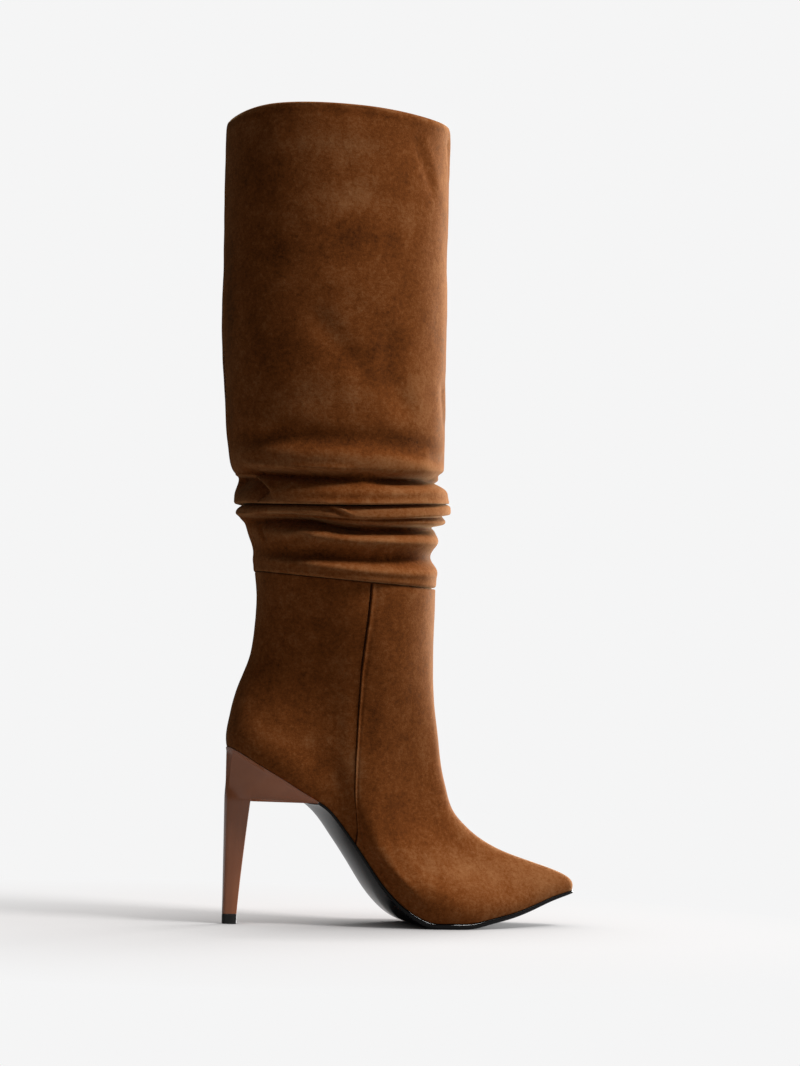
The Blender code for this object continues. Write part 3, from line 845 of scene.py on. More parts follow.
@dataclass
class Shell:
    """A leather shell: suede outside, lining inside, closed along both edges."""

    suede: bpy.types.Material
    lining: bpy.types.Material
    sizes: Sizes = SIZES
    creases: tuple[Crease, ...] = ()
    patches: tuple[Patch, ...] = ()
    ripples: tuple[Ripple, ...] = ()
    back_seam: tuple[Line, ...] = ()
    half_girth: float = 0.19

    def worked(self, plain: Array, columns: Columns) -> Array:
        """How far creases, unevenness and the closed back seam push each point outward.

        Args:
            plain: the plain outer face.
            columns: its places round the boot.

        Returns:
            Distances in metres.
        """
        place, side = columns.over(len(plain))
        push = np.zeros(plain.shape[:2])
        for crease in self.creases:
            push = push + crease.push(place, plain[:, :, 2], side)
        for ripple in self.ripples:
            push = push + ripple.push(plain)
        return push + relief(self.back_seam, columns.angles / math.pi * self.half_girth)

    def close(self, name: str, node: str, grid: Array, suede_rows: int) -> bpy.types.Object:
        """Makes the piece from rings that run over the outside and back down the inside.

        Args:
            name: the piece's name.
            node: the CAD node that it stands for.
            grid: all rings in order.
            suede_rows: number of rows of faces in suede, before the lining starts.

        Returns:
            The new piece.
        """
        rows, count = grid.shape[:2]
        closing = grid_faces(2, count)
        closing = np.where(closing >= count, closing - count, closing + (rows - 1) * count)
        faces = np.concatenate([grid_faces(rows, count), closing])
        piece = make_object(name, grid, faces, self.suede, node)
        piece.data.materials.append(self.lining)
        index = (np.arange(len(faces)) >= suede_rows * count).astype(int)
        piece.data.polygons.foreach_set("material_index", index)
        return piece

    def nap_and_shade_patches(self, grid: Array, columns: Columns) -> Array:
        """Values of the patches at each point of the closed grid: nap marks, painted light and painted
        shade.
        """
        place, side = columns.over(len(grid))
        return sum(patch.shade(place, grid[:, :, 2], side) for patch in self.patches)


@dataclass
class Upper(Shell):
    """Vamp and quarters: one leather shell from feather line to ankle seam."""

    creases: tuple[Crease, ...] = UPPER_CREASES
    patches: tuple[Patch, ...] = UPPER_PATCHES
    ripples: tuple[Ripple, ...] = (Ripple(0.00025, 45.0, 3.0), Ripple(0.00008, 160.0, 9.0))
    back_seam: tuple[Line, ...] = (Line(-0.0004, 0.0, 0.0007), Line(0.00025, 0.0022, 0.0014))
    half_girth: float = 0.13
    seam_step: float = 0.0007
    seam_lines: tuple[Line, ...] = (Line(0.00028, 0.0011, 0.0009), Line(-0.0008, -0.0002, 0.0005),
                                    Line(-0.00035, 0.0035, 0.0016))
    # Painted shade in the side seam's groove and a painted highlight just ahead of it.
    seam_shade_and_highlight: tuple[Line, ...] = (Line(0.3, 0.0016, 0.0008), Line(-2.2, -0.0002, 0.0006))
    pucker: Line = Line(0.00012, 0.0025, 0.002)
    pucker_rate: float = 44.0
    seam_rows: tuple[float, ...] = (0.0, 1.0, 3.9, 6.7, 8.8, 10.7, 13.0)
    seam_ahead: tuple[float, ...] = (0.0071, 0.0080, 0.0143, 0.0132, 0.0095, 0.0064, 0.0064)
    seam_band: tuple[float, float] = (91.0, 112.0)
    band_columns: tuple[int, int, int] = (46, 80, 56)
    low_rows: int = 22
    rows: int = 150
    lining_rows: int = 26
    edge_radius: float = 0.0008
    under_edge: tuple[tuple[float, float], ...] = (
        (0.0016, -0.00002), (0.0007, 0.00002), (0.0002, 0.0))
    toe_bend: float = 0.58

    def columns(self) -> Columns:
        """Columns close together beside the side seam and at the toe and heel.

        Returns:
            The columns.
        """
        first, last = map(math.radians, self.seam_band)
        behind, beside, ahead = self.band_columns
        return Columns.spread(np.concatenate([
            np.linspace(0, first, behind, endpoint=False),
            np.linspace(first, last, beside, endpoint=False),
            np.linspace(last, math.pi, ahead),
        ]))

    def ends(self, rows: Array) -> tuple[Array, Array]:
        """Back and front points of rings.

        Args:
            rows: places in the table of rings.

        Returns:
            One point of each ring at the back, and one at the front.
        """
        s = self.sizes
        table = RING_CURVE(rows)
        back, front = np.zeros((2, len(rows), 3))
        back[:, 0] = table[:, 0] * s.foot_length - s.seat_overhang
        back[:, 2] = s.heel_rise + (s.ankle_height + s.ankle_drop / 2 - s.heel_rise) * table[:, 1]
        front[:, 0] = table[:, 2] * s.foot_length - s.seat_overhang
        toe_rise = STATIONS[-1].rise * s.heel_rise
        front[:, 2] = toe_rise + (s.ankle_height - s.ankle_drop / 2 - toe_rise) * table[:, 3]
        toe_y = STATIONS[-1].middle * s.ball_width / 2
        front[:, 1] = toe_y * np.maximum(0, (table[:, 2] - self.toe_bend) / (1 - self.toe_bend))
        return back, front

    def grid(self, rows: Array, columns: Columns) -> Array:
        """Points of the plain outer face.

        Args:
            rows: places in the table of rings.
            columns: places round the boot.

        Returns:
            One ring of points for each row.
        """
        table = RING_CURVE(rows)
        rise, outline, spread, round_side = (table[:, place, None] for place in (4, 5, 6, 7))
        share = (1 - np.cos(columns.angles)) / 2
        low = FEATHER.ring(columns.angles, columns.sides, 0.0, 0.0)
        back, front = self.ends(rows)
        (low_back, high_back), (low_front, high_front) = self.ends(np.array([0.0, len(RINGS) - 1.0]))
        off_back = back - (low_back + (high_back - low_back) * rise)
        off_front = front - (low_front + (high_front - low_front) * rise)
        points = np.zeros((len(rows), len(share), 3))
        for axis in (0, 2):
            high = high_back[axis] + (high_front[axis] - high_back[axis]) * share
            points[:, :, axis] = (
                low[:, axis] + (high - low[:, axis]) * rise
                + off_back[:, axis, None] * (1 - share) ** 2 + off_front[:, axis, None] * share ** 3
            )
        points[:, :, 2] -= ankle_dip(columns.angles) * rise ** 4
        width = columns.sides * np.sin(columns.angles)
        round_y = front[:, 1, None] * share ** 3 + width * round_side * self.sizes.ankle_width / 2
        points[:, :, 1] = round_y + (low[:, 1] * spread - round_y) * outline
        return points

    def build(self) -> None:
        """Makes the outer leather with its seams, edges and lining."""
        columns = self.columns()
        rows = np.concatenate([np.linspace(0, 1.2, self.low_rows, endpoint=False),
                               np.linspace(1.2, len(RINGS) - 1, self.rows - self.low_rows)])
        plain = self.grid(rows, columns)
        seam = self.seam_distance(plain, columns, rows)
        push = self.seam_relief(seam, rows) + self.worked(plain, columns)
        low_edge = np.clip(1 - rows / 0.55, 0, 1)[:, None] ** 2
        outer = plain + grid_normals(plain) * (push * (1 - low_edge))[:, :, None]
        under = [FEATHER.ring(columns.angles, columns.sides, *turn) for turn in self.under_edge]
        over = turned_edge(outer[-1], plain[-1], self.edge_radius, (25, 55, 90, 130))
        outer = np.concatenate([np.array(under), outer, over])
        grid = np.concatenate([outer, self.inner_face(columns)[::-1]])
        piece = self.close("vamp_and_quarters", "upper", grid, len(outer))
        values = self.nap_and_shade_patches(grid, columns)
        # Painted shade along the side seam's groove and a painted highlight just ahead of it.
        values[len(under):len(under) + len(rows)] += relief(self.seam_shade_and_highlight, seam)
        add_values(piece, "brushed", values)

    def seam_distance(self, plain: Array, columns: Columns, rows: Array) -> Array:
        """Signed distance along each ring from the side seam, positive to the front.

        Args:
            plain: the plain outer face.
            columns: its places round the boot.
            rows: its places in the table of rings.

        Returns:
            Distances in metres.
        """
        step = np.linalg.norm(np.roll(plain, -1, axis=1) - plain, axis=2)
        run = np.concatenate([np.zeros((len(plain), 1)), np.cumsum(step, axis=1)[:, :-1]], axis=1)
        outer, inner = (
            int(np.argmin(np.abs(columns.angles - math.pi / 2) + (columns.sides != side.value) * 9))
            for side in Side)
        ahead = np.interp(rows, self.seam_rows, self.seam_ahead)[:, None]
        return np.where(columns.sides < 0, run - run[:, outer, None], run[:, inner, None] - run) - ahead

    def seam_relief(self, seam: Array, rows: Array) -> Array:
        """Height of the lapped side seam: a groove, the folded edge and its step.

        Args:
            seam: distance of each point from the seam.
            rows: places in the table of rings.

        Returns:
            Distances in metres, positive outward.
        """
        step = self.seam_step * smooth(seam, 0.0, 0.0005)
        pucker = np.sin(rows * self.pucker_rate)[:, None] * relief((self.pucker,), seam)
        fade = 1 - smooth(seam, 0.012, 0.05)
        return step * np.maximum(fade, 0.35) + relief(self.seam_lines, seam) + pucker

    def inner_face(self, columns: Columns) -> Array:
        """The lining side, one wall inside the plain outer face.

        Args:
            columns: places round the boot.

        Returns:
            One ring of points for each row.
        """
        plain = self.grid(np.linspace(0, len(RINGS) - 1, self.lining_rows), columns)
        inner = plain - grid_normals(plain) * self.sizes.upper_wall
        inset = self.sizes.upper_wall + self.sizes.gap
        inner[0] = FEATHER.ring(columns.angles, columns.sides, inset, 0.0)
        return inner


@dataclass
class Leg(Shell):
    """The slouch leg with its rolls at the ankle."""

    creases: tuple[Crease, ...] = LEG_CREASES
    patches: tuple[Patch, ...] = LEG_PATCHES
    ripples: tuple[Ripple, ...] = (Ripple(0.0007, 26.0, 5.0), Ripple(0.0003, 75.0, 2.0))
    back_seam: tuple[Line, ...] = (Line(-0.0004, 0.0, 0.0009), Line(0.0003, 0.003, 0.0018))
    # Painted highlight along the rim and a painted shade line just under it.
    rim_highlight_and_shade: tuple[Line, ...] = (Line(0.6, 0.0, 0.0020), Line(-0.42, 0.0050, 0.0018))
    half_columns: int = 124
    calf_rows: int = 84
    fold_rows: int = 214
    rim_radius: float = 0.0009
    inner_calm: float = 0.2
    inner_lift: float = 0.004
    # Crests lighter from rubbed nap, tucks darker as painted shade.
    wear_and_shade_reach: float = 0.009
    wear_and_shade_height: float = 0.0016
    wear_and_shade_range: tuple[float, float] = (-1.2, 1.0)
    wear_and_shade_weight: float = 0.85
    patch_weight: float = 1.5
    lining_rows: int = 64
    lining_window: float = 0.0035

    def rows(self) -> Array:
        """Places of the rows in the table of folds, close together where the folds are.

        Returns:
            The places, rim first.
        """
        folds = fold_row("brow")
        return np.concatenate([np.linspace(0, folds, self.calf_rows, endpoint=False),
                               np.linspace(folds, len(FOLDS) - 1, self.fold_rows)])

    def grid(self, rows: Array, columns: Columns) -> Array:
        """Points of the outer face before creases.

        Args:
            rows: places in the table of folds.
            columns: places round the leg.

        Returns:
            One ring of points for each row.
        """
        s = self.sizes
        table = FOLD_CURVE(rows)
        up, out = (around(part, columns.angles / math.pi) for part in (table[:, :5], table[:, 5:]))
        swing = np.sin(columns.angles)
        inner = (columns.sides > 0) * swing
        in_folds = smooth(up, 0.0, 0.02) * (1 - smooth(up, 0.25, 0.34))
        wander = 0.0030 * np.sin(columns.angles * 3 + 1.1) + 0.0018 * np.sin(columns.angles * 5)
        up = up + in_folds * inner * (self.inner_lift + wander)
        out = out * (1 - self.inner_calm * inner) * s.fold_depth
        form = FORM_CURVE(up.ravel())
        back, front, half = (form[:, axis].reshape(up.shape) for axis in range(3))
        share = (1 - np.cos(columns.angles)) / 2
        x_back = s.leg_axis - back * s.calf_depth - out
        x_front = s.leg_axis + front * s.calf_depth + out
        fall = s.ankle_drop * (0.5 - share) * np.maximum(0, 1 - up / s.seam_reach)
        dip = ankle_dip(columns.angles) * (1 - smooth(up, 0.0, 0.075))
        return np.stack([x_back + (x_front - x_back) * share,
                         columns.sides * swing * (half * s.calf_width / 2 + out),
                         s.ankle_height + fall - dip + up * s.leg_length], axis=2)

    def build(self) -> None:
        """Makes the leg's suede with its creases, turned rim and lining."""
        columns = Columns.spread(np.linspace(0, math.pi, self.half_columns))
        rows = self.rows()
        plain = self.grid(rows, columns)
        keep = smooth(rows, 0.0, 0.3) * (1 - smooth(rows, len(FOLDS) - 3.2, len(FOLDS) - 2.0))
        push = self.worked(plain, columns) * keep[:, None]
        outer = plain + level_out(plain) * push[:, :, None]
        rim = turned_edge(outer[0], outer[0], self.rim_radius, (35, 70, 110, 145))
        grid = np.concatenate([outer[::-1], rim, self.inner_face(outer)])
        piece = self.close("leg", "shaft", grid, len(outer) + len(rim) - 1)
        under_rim = grid[:, :, 2].max(axis=0) - grid[:, :, 2]
        # Rim: a painted highlight along the top and a painted shade line below it.
        values = self.patch_weight * self.nap_and_shade_patches(grid, columns) + relief(self.rim_highlight_and_shade, under_rim)
        # Crests lighter as rubbed nap, tucks darker as painted shade in the folds.
        worn = np.clip(crests(outer, self.wear_and_shade_reach) / self.wear_and_shade_height, *self.wear_and_shade_range)
        values[:len(outer)] += self.wear_and_shade_weight * worn[::-1]
        add_values(piece, "brushed", values)

    def inner_face(self, outer: Array) -> Array:
        """The lining side of the leg, which runs straight past the folds outside.

        Args:
            outer: the finished outer face, rim first.

        Returns:
            One ring of points for each row, rim first.
        """
        centre = np.array([self.sizes.leg_axis, 0.0])
        arm = outer[:, :, :2] - centre
        turns = np.arctan2(arm[:, :, 1], arm[:, :, 0])
        ways = turns[len(turns) // 2]
        reach, heights = (
            np.array([np.interp(ways, turn, row, period=2 * math.pi)
                      for turn, row in zip(turns, values)])
            for values in (np.linalg.norm(arm, axis=2), outer[:, :, 2]))
        share = np.linspace(0, 1, self.lining_rows)[:, None]
        levels = heights[0] + (heights[-1] - heights[0]) * share
        radii = []
        for level in levels:
            apart = np.abs(heights - level)
            window = np.where(apart < self.lining_window, reach, np.inf).min(axis=0)
            nearest = np.take_along_axis(reach, apart.argmin(axis=0)[None], axis=0)[0]
            radii.append(np.minimum(window, nearest) - self.sizes.leg_wall)
        radii = np.array(radii)
        for _ in range(3):
            padded = np.concatenate([radii[:1], radii, radii[-1:]])
            radii = np.minimum(radii, (padded[:-2] + padded[1:-1] + padded[2:]) / 3)
        x, y = centre[0] + radii * np.cos(ways), centre[1] + radii * np.sin(ways)
        return np.stack([x, y, levels], axis=2)


@dataclass
class Sole:
    """The thin lacquered outsole with its rounded edge."""

    lacquer: bpy.types.Material
    sizes: Sizes = SIZES
    margin: float = 0.0006
    samples: int = 150
    breast_gap: float = 0.004
    arch_swell: float = 2.6
    toe_swell: float = 0.9
    settle: float = 0.0003

    def build(self) -> None:
        """Lofts the sole as strips straight across, edge to edge."""
        start = float(TURNS[BREAST]) + self.breast_gap
        angles = np.append(np.linspace(start, math.pi, self.samples)[:-1], math.pi - 1e-4)
        table = STATION_CURVE(angles)
        thick = table[:, 5] * self.sizes.sole_thickness - self.sizes.gap
        toeward = smooth(table[:, 0], 0.55, 0.70)
        swell = self.arch_swell + (self.toe_swell - self.arch_swell) * toeward
        sag = swell * table[:, 6] * self.sizes.sole_thickness
        grid = []
        for across, depth, level in self.section():
            sides = np.full(len(angles), math.copysign(1.0, across))
            edge, other = (np.array(FEATHER.outline(angles, way, -self.margin))
                           for way in (sides, -sides))
            share = (1 + abs(across)) / 2
            x, y = edge * share + other * (1 - share)
            z = FEATHER.height(x, y) - self.sizes.gap * 1.2 - thick * depth
            z -= sag * (1 - across ** 2) * level
            grid.append(np.stack([x, y, np.maximum(z - self.settle * level, 0.0)], axis=1))
        points = np.array(grid).transpose(1, 0, 2)
        rows, count = points.shape[:2]
        faces = grid_faces(rows, count).tolist()
        faces += [list(range(count)), list(range((rows - 1) * count, rows * count))[::-1]]
        make_object("outsole_lacquered", points, faces, self.lacquer, "outsole")

    def section(self) -> list[tuple[float, float, float]]:
        """The points round one strip.

        Returns:
            Share across, depth and underside share of each point.
        """
        edge = [(1.0, 0.10), (1.0, 0.35), (1.0, 0.62), (0.994, 0.84), (0.980, 0.96), (0.955, 1.0)]
        top = [(share, 0.0, 0.0) for share in (-0.97, -0.6, -0.2, 0.2, 0.6, 0.97)]
        right = [(share, depth, 1.0 if depth > 0.8 else 0.0) for share, depth in edge]
        under = [(share, 1.0, 1.0) for share in np.linspace(0.9, -0.9, 19)]
        return top + right + under + [(-share, depth, level) for share, depth, level in right[::-1]]


class Section(NamedTuple):
    """One level of the heel: ends and half widths in metres."""

    z: float
    back: float
    front: float
    half: float
    facet: float
    soft: float


@dataclass
class Heel:
    """The stiletto: a flat-sided lacquered block and pin, with the rubber tip under it."""

    lacquer: bpy.types.Material
    rubber: bpy.types.Material
    sizes: Sizes = SIZES
    tip_length: float = 0.0083
    tip_width: float = 0.0078
    tip_height: float = 0.0060
    tip_bevel: float = 0.0003
    pin_bevel: float = 0.0002
    pin_lean: float = 0.0003
    corner: float = 0.0006
    top_length: float = 0.0146
    top_width: float = 0.0140
    breast_height: float = 0.0764
    breast_fall: float = 0.0014
    breast_edge: float = 0.0010
    margin: float = 0.0005
    fillet: float = 0.0018
    back_corner: tuple[tuple[float, float], ...] = (
        (0.0, 0.0), (0.0, 0.5), (0.02, 0.94), (0.055, 1.06))
    side_count: int = 8
    shelf_count: int = 10
    pin_levels: int = 40
    block_levels: int = 30

    def pin(self, up: float, inset: float = 0.0) -> Section:
        """The pin's section.

        Args:
            up: share of the pin's height.
            inset: distance inward.

        Returns:
            The section at that height.
        """
        grow = up ** 1.15
        length = self.tip_length + (self.top_length - self.tip_length) * grow
        half = (self.tip_width + (self.top_width - self.tip_width) * grow) / 2
        back = -self.tip_length / 2 - self.pin_lean * up
        low = self.tip_height + self.sizes.gap
        z = low + up * (self.breast_height - self.fillet - low)
        facet = half * (0.60 + 0.06 * up)
        return Section(z, back + inset, back + length - inset, half - inset, facet, self.corner)

    def half_ring(self, cut: Section) -> Array:
        """Half of one level, back middle to front middle, on the side of positive Y.

        Args:
            cut: the level's section.

        Returns:
            One row for each column.
        """
        length = cut.front - cut.back
        rows = [(cut.back + share * length, cut.facet * wide) for share, wide in self.back_corner]
        first = rows[-1][1]
        for share in np.linspace(0.12, 0.94, self.side_count):
            swell = first + (cut.half - first) * min(1.0, share / 0.62) ** 0.8
            rows.append((cut.back + share * length, swell * (1 - 0.05 * max(0.0, share - 0.6))))
        side = rows[-1][1]
        for share in np.linspace(0, 1, self.shelf_count):
            turn = math.pi / 2 * share
            rows.append((cut.front - cut.soft * (1 - math.sin(turn)),
                         (side - cut.soft * (1 - math.cos(turn))) * (1 - 0.22 * share)))
        rows += [(cut.front, side * 0.40), (cut.front, 0.0)]
        return np.array([(x, y, cut.z) for x, y in rows])

    def seat(self) -> tuple[Array, Array]:
        """The block's two ends, matched point for point.

        Returns:
            Half rings of the seat and of the flat underside.
        """
        angles = np.concatenate([[0.0, 0.055, 0.125, 0.19], np.linspace(0.25, 0.62, self.side_count),
                                 np.linspace(0.66, 1.0, self.shelf_count)]) * float(TURNS[BREAST])
        x, y = FEATHER.outline(angles, np.ones(len(angles)), -self.margin)
        y[0] = 0.0
        x = np.concatenate([x, [x[-1], x[-1]]])
        y = np.concatenate([y, [y[-1] * 0.45, 0.0]])
        seat = np.stack([x, y, FEATHER.height(x, y) - self.sizes.gap * 1.3], axis=1)
        pin = self.half_ring(self.pin(1.0))
        front = seat[-1, 0]
        under = pin.copy()
        first = 4 + self.side_count
        start = pin[first - 1]
        shelf = under[first:first + self.shelf_count]
        share = np.linspace(0, 1, self.shelf_count) ** 1.1
        wide = seat[-3, 1] * 0.965
        shelf[:, 0] = start[0] + (front - start[0]) * share
        shelf[:, 1] = start[1] + (wide - start[1]) * share ** 0.85
        under[-2:, 0] = front
        under[-2, 1] = wide * 0.45
        along = np.clip((under[:, 0] - pin[0, 0]) / (front - pin[0, 0]), 0, 1)
        under[:, 2] = np.minimum(self.breast_height - self.breast_fall * along,
                                 seat[:, 2] - self.breast_edge)
        return seat, under

    def build(self) -> None:
        """Makes heel and tip."""
        levels = [self.half_ring(self.pin(0.0, self.pin_bevel)) - (0.0, 0.0, self.pin_bevel)]
        levels += [self.half_ring(self.pin(up)) for up in np.linspace(0, 1, self.pin_levels)]
        seat, under = self.seat()
        pin = levels[-1]
        forward = np.clip(under[:, 0] - pin[:, 0], 0, None)
        wide = np.clip(np.abs(under[:, 1]) - np.abs(pin[:, 1]), 0, None)
        for turn in map(math.radians, (22, 45, 68, 82)):
            out = self.fillet * (1 - math.cos(turn))
            row = pin.copy()
            row[:, 0] += np.minimum(forward, out)
            row[:, 1] += np.minimum(wide, out * 0.5)
            row[:, 2] += (under[:, 2] - pin[:, 2]) * math.sin(turn)
            levels.append(row)
        levels.append(under)
        late = 1.45 + 1.4 * (1 - smooth(np.arange(len(under)), 3, 9))
        for share in np.linspace(0, 1, self.block_levels)[1:]:
            shares = np.stack([np.full(len(late), share ** 1.15), share ** late,
                               np.full(len(late), share)], axis=1)
            flat = smooth(share, 0.0, 0.45) * (1 - smooth(share, 0.88, 1.0))
            levels.append(self.faceted(under + (seat - under) * shares, flat))
        self.solid("heel_lacquered", levels, self.lacquer, "heel")
        top, bevel = self.tip_height, self.tip_bevel
        tip = [self.half_ring(self.pin(0.0, inset)._replace(z=z))
               for z, inset in ((0.0, bevel), (bevel, 0.0), (top - bevel, 0.0), (top, bevel))]
        self.solid("heel_top_piece", tip, self.rubber, "heel_tip")

    def faceted(self, row: Array, flat: float) -> Array:
        """Straightens a level's back and sides so that they meet in crisp corners.

        Args:
            row: the level's half ring.
            flat: 0 for as it is, 1 for straight.

        Returns:
            The straightened half ring.
        """
        result = row.copy()
        for first, last in ((0, 3), (3, 3 + self.side_count)):
            share = np.linspace(0, 1, last - first + 1)[:, None]
            chord = row[first, :2] + (row[last, :2] - row[first, :2]) * share
            result[first:last + 1, :2] += (chord - row[first:last + 1, :2]) * flat
        return result

    def solid(self, name: str, halves: list[Array], material: bpy.types.Material,
              node: str) -> None:
        """Closes half rings into a solid with crisp real edges.

        Args:
            name: the piece's name.
            halves: half rings from the bottom up.
            material: its finish.
            node: the CAD node that it stands for.
        """
        mirror = np.array([1.0, -1.0, 1.0])
        grid = np.array([np.concatenate([half, half[-2:0:-1] * mirror]) for half in halves])
        faces = capped_faces(*grid.shape[:2], len(halves[0]) - 1)
        piece = make_object(name, grid, faces, material, node)
        tidy_faces(piece)
        piece.data.set_sharp_from_angle(angle=math.radians(24))


@dataclass
class Insole:
    """The board inside the upper."""

    leather: bpy.types.Material
    sizes: Sizes = SIZES
    thickness: float = 0.0022
    setback: float = 0.0120
    samples: int = 90

    def build(self) -> None:
        """Lofts the board from heel back to behind the toe."""
        half = np.linspace(0, math.pi, self.samples)
        half = half[STATION_CURVE(half)[:, 0] * self.sizes.foot_length
                    < self.sizes.foot_length - self.setback]
        last = len(half) - 1
        sides = np.concatenate([np.full(last + 1, -1.0), np.full(last, 1.0)])
        angles = np.concatenate([half, half[:0:-1]])
        inset, lift = self.sizes.upper_wall + self.sizes.gap * 2, self.sizes.gap * 1.5
        grid = np.array([FEATHER.ring(angles, sides, inset + extra, lift + up * self.thickness)
                         for extra, up in ((0.0, 0.0), (0.0, 0.7), (0.0003, 0.9), (0.0009, 1.0))])
        faces = capped_faces(*grid.shape[:2], last)
        make_object("sock_board", grid, faces, self.leather, "insole")


@dataclass(frozen=True)
class Thread:
    """One row of stitches along a line."""

    radius: float = 0.00018
    pitch: float = 0.0030
    length: float = 0.0023
    sides: int = 6
    rings: int = 6

    def along(self, name: str, path: Array, normals: Array, material: bpy.types.Material) -> None:
        """Lays stitches on a path.

        Args:
            name: the piece's name.
            path: points along the seam.
            normals: outward unit vectors at the points.
            material: the thread's finish.
        """
        run = np.concatenate([[0], np.cumsum(np.linalg.norm(np.diff(path, axis=0), axis=1))])
        bulge = np.sin(np.linspace(0, math.pi, self.rings))[:, None]
        turns = 2 * math.pi * np.arange(self.sides)[:, None] / self.sides
        stitch = grid_faces(self.rings, self.sides).tolist()
        top = (self.rings - 1) * self.sides
        stitch += [list(range(self.sides))[::-1], list(range(top, top + self.sides))]
        points, faces = [], []
        for start in np.arange(self.pitch / 2, run[-1] - self.length, self.pitch):
            places = start + self.length * np.linspace(0, 1, self.rings)
            line, out = (np.stack([np.interp(places, run, axis) for axis in values.T], axis=1)
                         for values in (path, normals))
            line = line + out * (bulge - 1.0) * self.radius
            ahead = np.gradient(line, axis=0)
            across = np.cross(ahead / np.linalg.norm(ahead, axis=1, keepdims=True), out)
            across /= np.linalg.norm(across, axis=1, keepdims=True)
            base = len(points)
            for point, a, b, size in zip(line, across, out, self.radius * (0.55 + 0.45 * bulge)):
                points.extend(point + size * (np.cos(turns) * a + np.sin(turns) * b))
            faces.extend([base + number for number in face] for face in stitch)
        make_object(name, np.array(points), faces, material)


class Nodes:
    """Short calls for building a node tree."""

    def __init__(self, tree: bpy.types.NodeTree) -> None:
        """Starts on a tree."""
        self.tree = tree

    def put(self, node: bpy.types.Node, values: dict) -> None:
        """Sets or links a node's inputs.

        Args:
            node: the node.
            values: numbers, colours or output sockets, by input.
        """
        for key, value in values.items():
            if isinstance(value, bpy.types.NodeSocket):
                self.tree.links.new(value, node.inputs[key])
            else:
                node.inputs[key].default_value = value

    def add(self, kind: str, values: dict | None = None, **settings: object) -> bpy.types.Node:
        """Adds a node.

        Args:
            kind: the node's type name.
            values: numbers, colours or output sockets for its inputs.
            settings: properties of the node.

        Returns:
            The new node.
        """
        node = self.tree.nodes.new(kind)
        for name, value in settings.items():
            setattr(node, name, value)
        self.put(node, values or {})
        return node

    def math(self, operation: str, *numbers: object) -> bpy.types.NodeSocket:
        """Sum, product or another operation on numbers."""
        return self.add("ShaderNodeMath", dict(enumerate(numbers)), operation=operation).outputs[0]

    def total(self, start: object, *parts: tuple[object, float]) -> bpy.types.NodeSocket:
        """Adds weighted values to a start value.

        Args:
            start: a number or socket.
            parts: each value and its weight.

        Returns:
            The sum.
        """
        for value, weight in parts:
            start = self.math("MULTIPLY_ADD", value, weight, start)
        return start

    def ramp(self, value: bpy.types.NodeSocket, low: float, high: float,
             to_low: float = 0.0, to_high: float = 1.0) -> bpy.types.NodeSocket:
        """Maps a range to another, held at its ends."""
        keys = {0: value, 1: low, 2: high, 3: to_low, 4: to_high}
        return self.add("ShaderNodeMapRange", keys).outputs[0]

    def mix(self, share: object, first: object, second: object) -> bpy.types.NodeSocket:
        """Mixes two colours."""
        node = self.add("ShaderNodeMix", {0: share, 6: first, 7: second}, data_type="RGBA")
        return node.outputs[2]

    def noise(self, vector: object, scale: float, detail: float = 3.0, rough: float = 0.5,
              distortion: float = 0.0) -> bpy.types.NodeSocket:
        """Noise between 0 and 1.

        Args:
            vector: the place that it is looked up at.
            scale: how fine it is.
            detail: number of finer layers.
            rough: weight of the finer layers.
            distortion: how far places are pushed about.

        Returns:
            The noise.
        """
        keys = {"Vector": vector, "Scale": scale, "Detail": detail, "Roughness": rough,
                "Distortion": distortion}
        return self.add("ShaderNodeTexNoise", keys).outputs[0]

    def stretched(self, vector: object, x: float, y: float, z: float) -> bpy.types.NodeSocket:
        """Coordinates scaled along each axis."""
        return self.add("ShaderNodeMapping", {"Vector": vector, "Scale": (x, y, z)}).outputs[0]


class Effect(Nodes):
    """A shader group that puts out a colour, a roughness and a height."""

    def __init__(self, name: str, inputs: dict[str, object]) -> None:
        """Makes an empty group with named sockets.

        Args:
            name: the group's name.
            inputs: default value of each input, a tuple for a colour.
        """
        super().__init__(bpy.data.node_groups.new(name, "ShaderNodeTree"))
        sockets = self.tree.interface
        for label, value in inputs.items():
            kind = "NodeSocketColor" if isinstance(value, tuple) else "NodeSocketFloat"
            sockets.new_socket(label, in_out="INPUT", socket_type=kind).default_value = value
        sockets.new_socket("Color", in_out="OUTPUT", socket_type="NodeSocketColor")
        sockets.new_socket("Roughness", in_out="OUTPUT", socket_type="NodeSocketFloat")
        sockets.new_socket("Height", in_out="OUTPUT", socket_type="NodeSocketFloat")
        self.given = self.add("NodeGroupInput").outputs
        self.place = self.add("ShaderNodeTexCoord").outputs["Object"]

    def close(self, colour: object, rough: object, height: object) -> bpy.types.NodeTree:
        """Links the results to the outputs and hands back the group."""
        self.add("NodeGroupOutput", {"Color": colour, "Roughness": rough, "Height": height})
        return self.tree


